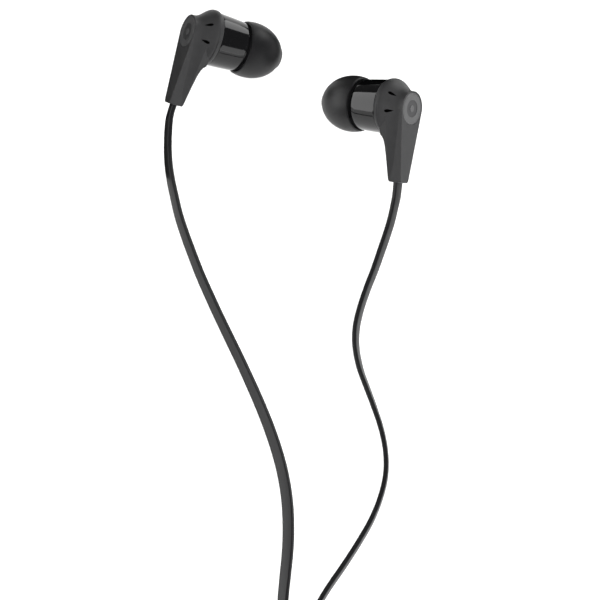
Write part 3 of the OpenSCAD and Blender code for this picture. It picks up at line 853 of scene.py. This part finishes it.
class EARPHONES_OT_stage(bpy.types.Operator):
    """Set up the camera, the pale floor and the soft lamps"""

    bl_idname = "earphones.stage"
    bl_label = "Stage"

    def execute(self, context):
        stage = context.scene.earphone_stage
        aim = Vector(stage.aim)
        back = Vector((0, -math.cos(stage.elevation), math.sin(stage.elevation)))
        let_go()
        bpy.ops.object.camera_add(location=aim + back * stage.distance)
        camera = context.object
        camera.rotation_euler = (math.pi / 2 - stage.elevation, 0, 0)
        camera.data.lens = stage.lens
        camera.data.sensor_width = 36
        camera.data.clip_start = 0.01
        context.scene.camera = camera

        let_go()
        bpy.ops.mesh.primitive_plane_add(size=6, location=(0, 0, 0))
        floor = context.object
        floor.name = "floor"
        floor.data.materials.append(grained(
            "Pale floor", stage.floor, grain=0.6, depth=0.02, roughness=0.75, spread=0.05,
            mottle=0.01,
        ))
        self.lamps()
        self.cards()
        self.flags()
        context.scene.view_settings.view_transform = "Standard"
        world = bpy.data.worlds.new("Studio")
        context.scene.world = world
        world.use_nodes = True
        background = world.node_tree.nodes["Background"]
        background.inputs["Color"].default_value = (1.0, 1.0, 1.0, 1.0)
        background.inputs["Strength"].default_value = stage.ambient
        return {"FINISHED"}

    def lamp(self, name, place, size, radiance):
        """A soft rectangular lamp facing the earbuds, as bright per area as radiance says."""
        let_go()
        bpy.ops.object.light_add(type="AREA", location=MIDDLE + Vector(place))
        lamp = bpy.context.object
        lamp.name = name
        lamp.data.shape = "RECTANGLE"
        lamp.data.size, lamp.data.size_y = size
        lamp.data.energy = radiance * math.pi * size[0] * size[1]
        lamp.rotation_euler = (-Vector(place)).to_track_quat("-Z", "Y").to_euler()
        return lamp

    def lamps(self):
        """The lamps that light the surfaces, without showing in the polished ones."""
        for name, place, size, radiance in (
            ("key", (0.6, -0.32, 0.2), (0.35, 0.3), 12.0),
            ("front", (0.22, -0.5, 0.62), (0.5, 0.4), 12.5),
            ("top", (-0.05, 0.1, 0.8), (0.9, 0.8), 2.0),
        ):
            lamp = self.lamp(name, place, size, radiance)
            lamp.visible_glossy = False
            lamp.data.use_shadow = name == "key"

    def cards(self):
        """The lit cards that the polished barrels and the satin shells mirror."""
        for name, place, size, radiance in (
            ("left_card", (-0.43, 0.06, 0.13), (0.58, 0.36), 3.6),
            ("right_card", (0.26, 0.3, 0.1), (0.2, 0.26), 3.4),
            ("low_card", (0.34, -0.42, 0.06), (0.3, 0.16), 2.2),
            ("high_card", (-0.34, -0.31, 0.31), (0.24, 0.24), 0.6),
        ):
            self.lamp(name, place, size, radiance).visible_diffuse = False

    def flags(self):
        """Black flags that only reflections see: behind the right earbud, and beside the left one."""
        black, _, shader = new_material("Black flag")
        shader.inputs["Base Color"].default_value = (0.0, 0.0, 0.0, 1.0)
        shader.inputs["Specular IOR Level"].default_value = 0.0
        for name, place, size, lean in (
            ("back_flag", (0.011, 0.029, 0.007), (0.02, 0.019), 43),
            ("near_flag", (0.017, 0.013, 0.0004), (0.026, 0.024), 0),
            ("side_flag", (-0.055, 0.022, 0.0004), (0.056, 0.075), 0),
        ):
            let_go()
            bpy.ops.mesh.primitive_plane_add(size=1, location=place)
            flag = bpy.context.object
            flag.name = name
            flag.scale = (size[0], size[1], 1)
            flag.rotation_euler = (math.radians(lean), 0, 0)
            flag.data.materials.append(black)
            for sight in ("camera", "diffuse", "shadow", "transmission"):
                setattr(flag, "visible_" + sight, False)


# --------------------------------------------------------------------------------------------
# Earbud pieces


def dome_points(sizes, inset, u_from, u_to, steps):
    """Points (r, u) along the ear tip's dome, set in by a wall."""
    middle = tip_middle(sizes)
    half, radius = sizes.tip_dome - inset, sizes.tip_radius - inset
    a_from = math.asin((u_from - middle) / half)
    a_to = math.asin((u_to - middle) / half)
    points = []
    for i in range(steps + 1):
        a = a_from + (a_to - a_from) * i / steps
        points.append((radius * math.cos(a), middle + half * math.sin(a)))
    return points


class EARPHONES_OT_ear_tips(bpy.types.Operator):
    """Model the two soft ear tips, with their hollow skirts and inner sleeves"""

    bl_idname = "earphones.ear_tips"
    bl_label = "Ear tips"

    def execute(self, context):
        sizes = context.scene.earphone_sizes
        base = tip_base(sizes)
        nozzle_end = base + sizes.nozzle_length
        middle = tip_middle(sizes)
        skin = 0.55 * MM
        lip = 0.35 * MM
        sleeve_in = sizes.nozzle_radius + 0.25 * MM
        sleeve_out = sleeve_in + 0.65 * MM
        hollow_end = base + 5.8 * MM
        mouth_part = (sizes.tip_mouth + lip) / sizes.tip_radius
        nose = middle + sizes.tip_dome * math.sqrt(1 - mouth_part ** 2)
        edge = skin / 2
        for side in SIDES:
            outer = dome_points(sizes, 0, base + edge, nose, 28)
            rim = arc((outer[0][0] - edge, base + edge), edge, 0, -180, 6)
            mouth = arc((sizes.tip_mouth + lip, nose - lip * 0.55), lip, 70, 180, 6)
            inner = dome_points(sizes, skin, base + edge, hollow_end, 16)
            profile = outer[:-1] + mouth + [
                (sizes.tip_mouth, nozzle_end + 0.25 * MM),
                (sizes.tip_mouth + 0.1 * MM, nozzle_end + 0.15 * MM),
                (sleeve_in, nozzle_end + 0.15 * MM), (sleeve_in, base + 0.45 * MM),
                (sleeve_in + 0.15 * MM, base + 0.3 * MM), (sleeve_out - 0.15 * MM, base + 0.3 * MM),
                (sleeve_out, base + 0.45 * MM), (sleeve_out, hollow_end - 0.5 * MM),
                (sleeve_out + 0.25 * MM, hollow_end - 0.05 * MM),
            ] + inner[::-1] + rim[::-1]
            piece = turned(side + "_tip", profile, 128)
            smooth(piece, 35)
            finish(
                piece, look("silicone"), "silicone", side + "_ear_tip",
                place=earbud_place(sizes, side), body=side + "_tip",
            )
        return {"FINISHED"}


class EARPHONES_OT_barrels(bpy.types.Operator):
    """Model the two polished barrels with their nozzles"""

    bl_idname = "earphones.barrels"
    bl_label = "Barrels"

    def execute(self, context):
        sizes = context.scene.earphone_sizes
        lip, groove, base = lip_at(sizes), groove_at(sizes), tip_base(sizes)
        end, nozzle = base + sizes.nozzle_length, sizes.nozzle_radius
        foot = lip - 1.2 * MM
        radius, front = sizes.barrel_radius, sizes.barrel_radius - sizes.barrel_draft
        groove_r = front - 0.5 * MM
        bore, wall = 1.7 * MM, 0.7 * MM
        cavity = groove_r - wall + 0.45 * MM
        for side in SIDES:
            profile = [
                (SPIGOT_RADIUS, foot), (SPIGOT_RADIUS, lip + 0.04 * MM),
                (radius - 0.1 * MM, lip + 0.04 * MM),
            ]
            profile += arc((radius - 0.12 * MM, lip + 0.16 * MM), 0.12 * MM, -90, 0, 4)
            for i in range(1, 12):
                part = i / 12
                swell = 0.03 * MM * math.sin(math.pi * part)
                profile.append((
                    radius - sizes.barrel_draft * part + swell, lip + sizes.barrel_length * part,
                ))
            profile += arc((front - 0.3 * MM, groove - 0.3 * MM), 0.3 * MM, 0, 90, 8)
            profile += [(groove_r, groove), (groove_r, base - 0.1 * MM), (groove_r - 0.1 * MM, base)]
            profile += [
                (nozzle + 0.2 * MM, base), (nozzle, base + 0.2 * MM), (nozzle, end - 1.2 * MM),
                (nozzle + 0.2 * MM, end - 1.0 * MM), (nozzle + 0.2 * MM, end - 0.6 * MM),
                (nozzle - 0.05 * MM, end - 0.05 * MM), (nozzle - 0.15 * MM, end),
                (bore + 0.3 * MM, end), (bore + 0.25 * MM, end - 0.05 * MM),
                (bore + 0.25 * MM, end - 0.6 * MM), (bore, end - 0.6 * MM), (bore, groove - 0.5 * MM),
                (cavity, groove - 0.5 * MM), (cavity, foot), (SPIGOT_RADIUS, foot),
            ]
            piece = turned(side + "_barrel", profile, 160)
            smooth(piece, 32)
            finish(
                piece, look("gloss"), "barrel_gloss", side + "_front_barrel",
                place=earbud_place(sizes, side),
            )
        return {"FINISHED"}


def flare(sizes, u):
    """Radius of the collar's flare: hollow by the face, and rounded over at its widest."""
    part = min(max(u / sizes.collar_at, 0), 1)
    swell = math.sin(math.pi / 2 * part ** 1.3) ** 2
    return sizes.face_radius + (sizes.collar_radius - sizes.face_radius) * swell


def stem_reach(sizes, u):
    """How far down the stem's section goes at a distance from the face: it ends behind its depth."""
    back = [
        (sizes.stem_depth, sizes.stem_drop - STEM_CORNER), (3.42 * MM, 14.0 * MM),
        (3.6 * MM, 11.2 * MM), (3.82 * MM, 9.0 * MM), (4.12 * MM, 7.6 * MM), (4.5 * MM, 6.8 * MM),
        (sizes.collar_at, 6.3 * MM),
    ]
    if u <= back[0][0]:
        near_edge = min(u, back[0][0] - u)
        if near_edge >= STEM_CORNER:
            return sizes.stem_drop
        rise = math.sqrt(STEM_CORNER ** 2 - (STEM_CORNER - near_edge) ** 2)
        return sizes.stem_drop - STEM_CORNER + rise
    for (u0, z0), (u1, z1) in zip(back, back[1:]):
        if u <= u1:
            return z0 + (z1 - z0) * (u - u0) / (u1 - u0)
    return 0.0


def tangent(radius, half, drop):
    """Where a line from (half, -drop) touches a circle at the origin, as (y, z)."""
    far = math.hypot(half, drop)
    to_point = math.atan2(-drop, half)
    a = to_point + math.acos(min(1, radius / far))
    return radius * math.cos(a), radius * math.sin(a)


def housing_ring(sizes, u):
    """Outline of the housing at a distance from the face, from the stem's foot round and back.

    Each side has the stem's flat facet, the crease, the flaring wall, and then the collar's round.
    """
    drop = sizes.stem_drop
    radius = flare(sizes, u)
    if u > sizes.collar_at:
        part = (u - sizes.collar_at) / sizes.lip_width
        radius = sizes.collar_radius - 0.25 * MM * part ** 2.2
    depth_part = min(u / sizes.stem_depth, 1.0)
    reach = stem_reach(sizes, u)
    facet_foot = sizes.stem_half_width * (0.94 + 0.06 * depth_part)
    facet_touch = tangent(sizes.face_radius, sizes.stem_half_width * 0.94, drop)
    facet_slope = (facet_touch[0] - sizes.stem_half_width * 0.94) / (drop + facet_touch[1])
    wall_foot = sizes.stem_half_width * (0.68 + 0.32 * depth_part)
    wall_radius = flare(sizes, min(u, sizes.stem_depth))
    touch = tangent(wall_radius, wall_foot, drop)
    wall_slope = (touch[0] - wall_foot) / (drop + touch[1])
    crease_up = (facet_foot - wall_foot) / max(wall_slope - facet_slope, 1e-6)
    crease_up = min(max(crease_up, 0.0), drop + touch[1] - 0.02 * MM)

    # the wall meets a collar wider than its own round where the line reaches that circle
    join_y, join_z = touch
    if radius > wall_radius:
        a = 1 + wall_slope ** 2
        c0 = wall_foot + wall_slope * drop
        b = wall_slope * c0
        c = c0 ** 2 - radius ** 2
        join_z = (-b - math.sqrt(max(b * b - a * c, 0))) / a
        join_y = c0 + wall_slope * join_z
    half = []
    foot_z = -reach
    crease_z = min(max(crease_up - drop, foot_z), join_z)

    def width_at(z):
        """Half width of the stem's side at a height."""
        if z >= crease_z:
            return wall_foot + wall_slope * (z + drop)
        return facet_foot + facet_slope * (z + drop)

    if reach <= -join_z or u > sizes.collar_at:
        start = math.atan2(join_z, join_y) if reach > 0 else -math.pi / 2 * 0.8
        lower = -math.pi / 2
        lower_points = FOOT_POINTS + FACET_POINTS + WALL_POINTS
        for i in range(lower_points):
            a = lower + (start - lower) * i / lower_points
            half.append((radius * math.cos(a), radius * math.sin(a)))
    else:
        flat = width_at(foot_z) - STEM_CORNER
        for i in range(FLAT_POINTS):
            half.append((flat * i / FLAT_POINTS, foot_z))
        for i in range(FOOT_POINTS - FLAT_POINTS):
            a = math.pi / 2 * i / (FOOT_POINTS - FLAT_POINTS)
            half.append((
                flat + STEM_CORNER * math.sin(a), foot_z + STEM_CORNER * (1 - math.cos(a)),
            ))
        crease_z = max(crease_z, foot_z + STEM_CORNER + 0.05 * MM)
        for i in range(FACET_POINTS):
            z = foot_z + STEM_CORNER + (crease_z - foot_z - STEM_CORNER) * i / FACET_POINTS
            half.append((width_at(z), z))
        for i in range(WALL_POINTS):
            z = crease_z + (join_z - crease_z) * i / WALL_POINTS
            half.append((width_at(z), z))
        start = math.atan2(join_z, join_y)
    for i in range(ROUND_POINTS + 1):
        a = start + (math.pi / 2 - start) * i / ROUND_POINTS
        half.append((radius * math.cos(a), radius * math.sin(a)))
    mirrored = [(-y, z) for y, z in half[-2:0:-1]]
    return [Vector((u, y, z)) for y, z in half + mirrored]


class EARPHONES_OT_housings(bpy.types.Operator):
    """Model the two housings: stem with its creased sides, hollow flare, collar lip and vents"""

    bl_idname = "earphones.housings"
    bl_label = "Housings"

    def execute(self, context):
        sizes = context.scene.earphone_sizes
        stations = [0.0, 0.03 * MM, 0.1 * MM, 0.2 * MM]
        stations += [0.3 * MM + (sizes.stem_depth - 0.6 * MM) * i / 12 for i in range(13)]
        stations += [sizes.stem_depth - gap * MM for gap in (0.2, 0.1, 0.03, 0.0)]
        for u in (3.34, 3.42, 3.5, 3.6, 3.7, 3.82, 3.96, 4.12, 4.3, 4.5, 4.7):
            stations.append(u * MM)
        stations.append(sizes.collar_at)
        stations += [sizes.collar_at + sizes.lip_width * i / 6 for i in range(1, 7)]
        for side in SIDES:
            rings = [housing_ring(sizes, u) for u in stations]
            piece = lofted(side + "_housing_shell", rings)
            self.pocket(piece, sizes)
            self.vents(piece, sizes)
            smooth(piece, 12)
            inner = self.shaded_vent_faces(piece, sizes)
            finish(
                piece, look("shell"), "shell_satin", side + "_housing",
                place=earbud_place(sizes, side),
            )
            # The faces inside the vents take a second material: near-black painted shade for their hollows
            piece.data.materials.append(grained(**VENT_SHADE_LOOK))
            for index in inner:
                piece.data.polygons[index].material_index = 1
        return {"FINISHED"}

    def shaded_vent_faces(self, piece, sizes):
        """Faces inside the vents, given painted shade: in the flare's stretch, and deeper than its
        surface.
        """
        found = []
        for face in piece.data.polygons:
            u, y, z = face.center
            sunk = math.hypot(y, z) < flare(sizes, u) - 0.08 * MM
            if sunk and 1.2 * MM < u < 4.35 * MM and -2 * MM < z:
                found.append(face.index)
        return found

    def pocket(self, piece, sizes):
        """The badge's seat in the face, the grommet's in the stem, and the hollow behind the lip."""
        combine(piece, drum(sizes.badge_radius + 0.04 * MM, -MM, 0.35 * MM))
        half = sizes.stem_half_width - 0.1 * MM
        middle = (sizes.stem_depth / 2, 0, -sizes.stem_drop)
        combine(piece, box_piece("cutter", (1.84 * MM, 2 * half, 5.4 * MM), middle, 0.15 * MM))
        lip = lip_at(sizes)
        combine(piece, drum(SPIGOT_RADIUS + 0.05 * MM, lip - 1.6 * MM, lip + MM))

    def vents(self, piece, sizes):
        """Two small teardrop vents on each side of the collar."""
        for across in (-1, 1):
            for angle in VENT_ANGLES:
                let_go()
                bpy.ops.mesh.primitive_uv_sphere_add(segments=24, ring_count=12, radius=0.5)
                cutter = bpy.context.object
                for vertex in cutter.data.vertices:
                    taper = 0.55 + 0.45 * vertex.co.x / 0.5
                    vertex.co.y *= max(taper, 0.12)
                    vertex.co.z *= max(taper, 0.12)
                stretch = Matrix.Diagonal((*VENT_SIZE, 1))
                spot = Matrix.Translation((VENT_AT, flare(sizes, VENT_AT) - 0.1 * MM, 0))
                lean = Matrix.Rotation(math.radians(VENT_LEAN), 4, "Z")
                around = Matrix.Rotation(math.radians(angle if across > 0 else 180 - angle), 4, "X")
                cutter.data.transform(around @ spot @ lean @ stretch)
                recalculate(cutter)
                combine(piece, cutter)


class EARPHONES_OT_badges(bpy.types.Operator):
    """Model the two spun badges, with a fine rim, a sunk dark ring and a small centre dot"""

    bl_idname = "earphones.badges"
    bl_label = "Badges"

    def execute(self, context):
        sizes = context.scene.earphone_sizes
        r = sizes.badge_radius
        sunk = 0.07 * MM
        for side in SIDES:
            piece = turned(side + "_badge", [
                (0, 0.0), (BADGE_DOT, 0.0), (BADGE_DOT + 0.05 * MM, sunk), (BADGE_INLAY, sunk),
                (BADGE_INLAY + 0.05 * MM, 0.0), (r - 0.4 * MM, 0.0), (r - 0.36 * MM, 0.04 * MM),
                (r - 0.3 * MM, 0.04 * MM), (r - 0.26 * MM, 0.0), (r - 0.06 * MM, 0.0),
                (r, 0.06 * MM), (r, 0.34 * MM), (0, 0.34 * MM),
            ], 128)
            remember_place(piece)
            smooth(piece, 25)
            finish(
                piece, spun_badge(), "badge_metal", side + "_face_disc",
                place=earbud_place(sizes, side),
            )
        return {"FINISHED"}


class EARPHONES_OT_stem_fittings(bpy.types.Operator):
    """Model the soft grommets in the stems' ends and the woven screens in the nozzles"""

    bl_idname = "earphones.stem_fittings"
    bl_label = "Grommets and screens"

    def execute(self, context):
        sizes = context.scene.earphone_sizes
        for side in SIDES:
            place = earbud_place(sizes, side)
            self.grommet(sizes, context.scene.earphone_cord, side, place)
            self.screen(sizes, side, place)
        return {"FINISHED"}

    def grommet(self, sizes, cord, side, place):
        """A soft block in the stem's end, slotted for the flat cord."""
        half = sizes.stem_half_width - 0.12 * MM
        deep, tall = 1.8 * MM, 2.6 * MM
        middle = (sizes.stem_depth / 2, 0, -sizes.stem_drop + tall / 2 - 0.05 * MM)
        piece = box_piece(side + "_strain_grommet", (deep, 2 * half, tall), middle, 0.15 * MM)
        slot = (cord.thickness + 0.04 * MM, cord.width + 0.04 * MM, 3 * tall)
        combine(piece, box_piece("cutter", slot, middle, 0.2 * MM, 3))
        smooth(piece, 30)
        finish(piece, look("moulding"), "soft_black", side + "_grommet", place=place)

    def screen(self, sizes, side, place):
        """Wires crossing inside a pressed rim."""
        at = tip_base(sizes) + sizes.nozzle_length - 0.5 * MM
        reach = 1.9 * MM
        let_go()
        bpy.ops.mesh.primitive_grid_add(x_subdivisions=15, y_subdivisions=15, size=2 * reach)
        weave = bpy.context.object
        bpy.ops.object.mode_set(mode="EDIT")
        mesh = bmesh.from_edit_mesh(weave.data)
        outside = [v for v in mesh.verts if v.co.length > reach]
        bmesh.ops.delete(mesh, geom=outside, context="VERTS")
        bmesh.update_edit_mesh(weave.data)
        bpy.ops.object.mode_set(mode="OBJECT")
        apply_modifier(weave, "WIREFRAME", thickness=0.07 * MM, use_boundary=True)
        weave.data.transform(Matrix.Translation((at, 0, 0)) @ Matrix.Rotation(math.pi / 2, 4, "Y"))
        rim_in, rim_out, near, far = 1.65 * MM, 1.92 * MM, at - 0.08 * MM, at + 0.08 * MM
        rim = turned("rim", [
            (rim_in, near), (rim_out, near), (rim_out, far), (rim_in, far), (rim_in, near),
        ], 64)
        piece = joined([weave, rim], side + "_screen")
        smooth(piece, 35)
        steel = grained(**INNER_LOOKS["fine_steel"])
        finish(piece, steel, "fine_steel", side + "_nozzle_mesh", place=place)


class EARPHONES_OT_splitter(bpy.types.Operator):
    """Model the splitter's two half shells, with a parting line and slots for the flat cords"""

    bl_idname = "earphones.splitter"
    bl_label = "Splitter"

    def execute(self, context):
        sizes = context.scene.earphone_cord
        width, thickness, long = sizes.width, sizes.thickness, sizes.splitter_length
        across, tall = 3.2 * MM, 3.4 * MM
        gap = 0.04 * MM
        place = Matrix.Translation(Vector((COIL.x, COIL.y + SPLITTER_Y, SPLITTER_Z)) * MM)
        for name, up in (("upper", 1), ("lower", -1)):
            piece = box_piece("splitter_" + name, (long, across, tall), (0, 0, 0), 0.7 * MM, 6)
            half = box_piece("cutter", (2 * long, 2 * across, tall), (0, 0, up * (tall / 2 + gap)))
            combine(piece, half, "INTERSECT")
            for x, room in (
                (long / 2, 2 * thickness + 0.14 * MM), (-long / 2, thickness + 0.08 * MM)
            ):
                slot = (3 * MM, room, width + 0.06 * MM)
                combine(piece, box_piece("cutter", slot, (x, 0, 0), 0.2 * MM, 3))
            for x in (-2.4, -1.6, -0.8, 0, 0.8, 1.6, 2.4):
                groove = (0.3 * MM, 2 * across, 0.3 * MM)
                combine(piece, box_piece("cutter", groove, (x * MM, 0, up * tall / 2), 0.1 * MM, 3))
            smooth(piece, 30)
            finish(piece, look("moulding"), "soft_black", f"splitter_{name}_shell", place=place)
        return {"FINISHED"}


class EARPHONES_OT_plug(bpy.types.Operator):
    """Model the jack plug: ribbed relief, bevelled body, collar and the plated contacts"""

    bl_idname = "earphones.plug"
    bl_label = "Plug"

    def execute(self, context):
        sizes = context.scene.earphone_cord
        body, contact = sizes.plug_body_radius, sizes.plug_radius
        relief_end, body_end = 9 * MM, 24 * MM
        first = body_end + 1 * MM
        sleeve, band, ring = 6.2 * MM, 0.8 * MM, 2.4 * MM
        tip = first + sleeve + ring + 2 * band
        end = first + 14 * MM
        at = Vector((COIL.x - sizes.inner_radius / MM, PLUG_Y, PLUG_Z))
        place = Matrix.Translation(at * MM) @ Matrix.Rotation(-math.pi / 2, 4, "Z")
        core = 1.45 * MM
        ribs = [(0, 0), (1.3 * MM, 0)]
        for k in range(5):
            rib_r, at = (2.0 + 0.08 * k) * MM, (relief_end * k / 5) + 0.02 * MM
            ribs += [
                (rib_r - 0.15 * MM, at), (rib_r, at + 0.15 * MM), (rib_r, at + 0.95 * MM),
                (rib_r - 0.15 * MM, at + 1.1 * MM), (core, at + 1.15 * MM), (core, at + 1.7 * MM),
            ]
        ribs += [(core, relief_end), (0, relief_end)]
        piece = turned("plug_relief_ribbed", ribs, 64)
        slot = (3 * relief_end, sizes.width + 0.04 * MM, sizes.thickness + 0.04 * MM)
        combine(piece, box_piece("cutter", slot, (0, 0, 0), 0.2 * MM, 3))
        smooth(piece, 35)
        finish(piece, look("moulding"), "soft_black", "plug_relief", place=place)

        edge = 0.5 * MM
        grip = [(0, relief_end), (body - edge, relief_end)]
        grip += arc((body - edge, relief_end + edge), edge, -90, 0, 8)[1:]
        for k in range(6):
            at = relief_end + (3.5 + 1.4 * k) * MM
            grip += [
                (body, at), (body - 0.12 * MM, at + 0.1 * MM), (body - 0.12 * MM, at + 0.4 * MM),
                (body, at + 0.5 * MM),
            ]
        grip += arc((body - edge, body_end - edge), edge, 0, 90, 8) + [(0, body_end)]
        piece = turned("plug_grip", grip, 96)
        slot = (6 * MM, *slot[1:])
        combine(piece, box_piece("cutter", slot, (relief_end, 0, 0), 0.2 * MM, 3))
        smooth(piece, 35)
        finish(piece, look("moulding"), "soft_black", "plug_body", place=place)

        bore = 0.9 * MM
        fine = 0.06 * MM
        ring_from = first + sleeve + band
        for name, replaced, r, start, stop in (
            ("plug_shoulder", "plug_collar", body - 0.35 * MM, body_end + 0.01 * MM, first),
            ("plug_sleeve_contact", "plug_sleeve", contact, first, first + sleeve),
            ("plug_ring_contact", "plug_ring", contact, ring_from, ring_from + ring),
        ):
            piece = turned(name, [
                (bore, start), (r - fine, start), (r, start + fine), (r, stop - fine),
                (r - fine, stop), (bore, stop), (bore, start),
            ])
            smooth(piece, 35)
            finish(piece, look("plating"), "gold", replaced, place=place)
        bands = []
        r = contact - 0.02 * MM
        for start in (first + sleeve, ring_from + ring):
            stop = start + band
            bands.append(turned("band", [
                (bore, start), (r, start), (r, stop), (bore, stop), (bore, start),
            ]))
        piece = joined(bands, "plug_bands")
        smooth(piece, 35)
        insulator = grained(**INNER_LOOKS["insulator"])
        finish(piece, insulator, "insulator", "plug_insulators", place=place)
        neck, bulb = contact - 0.6 * MM, contact - 0.25 * MM
        piece = turned("plug_tip_contact", [
            (0, tip), (contact - fine, tip), (contact, tip + fine), (neck, tip + 0.8 * MM),
            (neck, tip + 1.1 * MM), (bulb - 0.05 * MM, tip + 1.75 * MM), (bulb, tip + 1.9 * MM),
            (bulb, tip + 2.15 * MM), (bulb - 0.08 * MM, tip + 2.35 * MM),
            (0.62 * MM, end - 0.12 * MM), (0.45 * MM, end), (0, end),
        ])
        smooth(piece, 30)
        finish(piece, look("plating"), "gold", "plug_tip", place=place)
        return {"FINISHED"}


class EARPHONES_OT_tie(bpy.types.Operator):
    """Model the flat tie round the coil, with its two ends twisted together"""

    bl_idname = "earphones.tie"
    bl_label = "Tie"

    def execute(self, context):
        sizes = cord_mm()
        thick, wide, spare = 0.35, 3.0, 0.12
        inside = sizes["inner"] - sizes["thickness"] / 2 - spare
        outside = sizes["outer"] + sizes["thickness"] / 2 + spare
        tall = 3 * sizes["layer"] + 0.1
        middle = ((inside + outside) / 2 * MM, 0, (thick + tall / 2) * MM)
        hole = ((outside - inside) * MM, 3 * wide * MM, tall * MM)
        shell = (hole[0] + 2 * thick * MM, wide * MM, hole[2] + 2 * thick * MM)
        piece = box_piece("coil_strap", shell, middle, 0.16 * MM, 4)
        combine(piece, box_piece("cutter", hole, middle, 0.3 * MM, 4))
        strands = [piece]
        start = Vector((outside + 0.45, 0, sizes["layer"] * 3 - 0.6))
        lean = Vector((math.sin(math.radians(60)), 0, math.cos(math.radians(60))))
        side = Vector((0, 1, 0))
        over = lean.cross(side)
        steps, turns, length, spread, strand_r = 60, 3.5, 7.0, 0.34, 0.34
        corners = [math.tau * k / 12 for k in range(12)]
        section = [(strand_r * MM * math.cos(a), strand_r * MM * math.sin(a)) for a in corners]
        for half in (0, math.pi):
            path = []
            for i in range(steps + 1):
                a = half + turns * math.tau * i / steps
                twist = (side * math.cos(a) + over * math.sin(a)) * spread
                path.append((start + lean * (length * i / steps) + twist) * MM)
            strands.append(swept("strand", path, [0] * len(path), section, [0] * len(path)))
        piece = joined(strands, "coil_strap")
        smooth(piece, 40)
        place = Matrix.Translation(COIL * MM) @ Matrix.Rotation(math.radians(TIE_ANGLE), 4, "Z")
        finish(piece, look("moulding"), "tie", "coil_tie", place=place)
        return {"FINISHED"}


class EARPHONES_OT_inner(bpy.types.Operator):
    """Give the drivers and the other inner pieces their finishes"""

    bl_idname = "earphones.inner"
    bl_label = "Inner pieces"

    def execute(self, context):
        slots = {row["node"]: row["material_slot"] for row in frame["record"]["subparts"]}
        for name, piece in frame["nodes"].items():
            slot = slots[name]
            if slot in INNER_LOOKS:
                wear(piece, grained(**INNER_LOOKS[slot]))
            elif slot == "gold":
                wear(piece, look("plating"))
            elif slot in ("soft_black", "tie"):
                wear(piece, look("moulding"))
        return {"FINISHED"}


# --------------------------------------------------------------------------------------------
# Panel and registration


class EARPHONES_PT_panel(bpy.types.Panel):
    """Lists the steps in the 3D view's sidebar"""

    bl_idname = "EARPHONES_PT_panel"
    bl_label = "Earphones"
    bl_space_type = "VIEW_3D"
    bl_region_type = "UI"
    bl_category = "Earphones"

    def draw(self, context):
        for step in STEPS:
            self.layout.operator(step.bl_idname)


STEPS = (
    EARPHONES_OT_stage,
    EARPHONES_OT_cords,
    EARPHONES_OT_ear_tips,
    EARPHONES_OT_barrels,
    EARPHONES_OT_housings,
    EARPHONES_OT_badges,
    EARPHONES_OT_stem_fittings,
    EARPHONES_OT_splitter,
    EARPHONES_OT_plug,
    EARPHONES_OT_tie,
    EARPHONES_OT_cord_facts,
    EARPHONES_OT_inner,
)
GROUPS = {
    "earphone_sizes": EarbudSizes,
    "earphone_cord": CordSizes,
    "earphone_finishes": Finishes,
    "earphone_stage": StageSettings,
}


def register():
    """Registers the settings, the steps and the panel."""
    for group in GROUPS.values():
        bpy.utils.register_class(group)
    for name, group in GROUPS.items():
        setattr(bpy.types.Scene, name, bpy.props.PointerProperty(type=group))
    for step in (*STEPS, EARPHONES_PT_panel):
        bpy.utils.register_class(step)


def unregister():
    """Takes away what register added."""
    for step in (EARPHONES_PT_panel, *reversed(STEPS)):
        bpy.utils.unregister_class(step)
    for name in GROUPS:
        delattr(bpy.types.Scene, name)
    for group in GROUPS.values():
        bpy.utils.unregister_class(group)


def main():
    """Registers the steps and makes everything in order."""
    register()
    bpy.ops.earphones.stage()
    bpy.ops.earphones.cords()
    bpy.ops.earphones.ear_tips()
    bpy.ops.earphones.barrels()
    bpy.ops.earphones.housings()
    bpy.ops.earphones.badges()
    bpy.ops.earphones.stem_fittings()
    bpy.ops.earphones.splitter()
    bpy.ops.earphones.plug()
    bpy.ops.earphones.tie()
    bpy.ops.earphones.cord_facts()
    bpy.ops.earphones.inner()


if __name__ == "__main__":
    main()
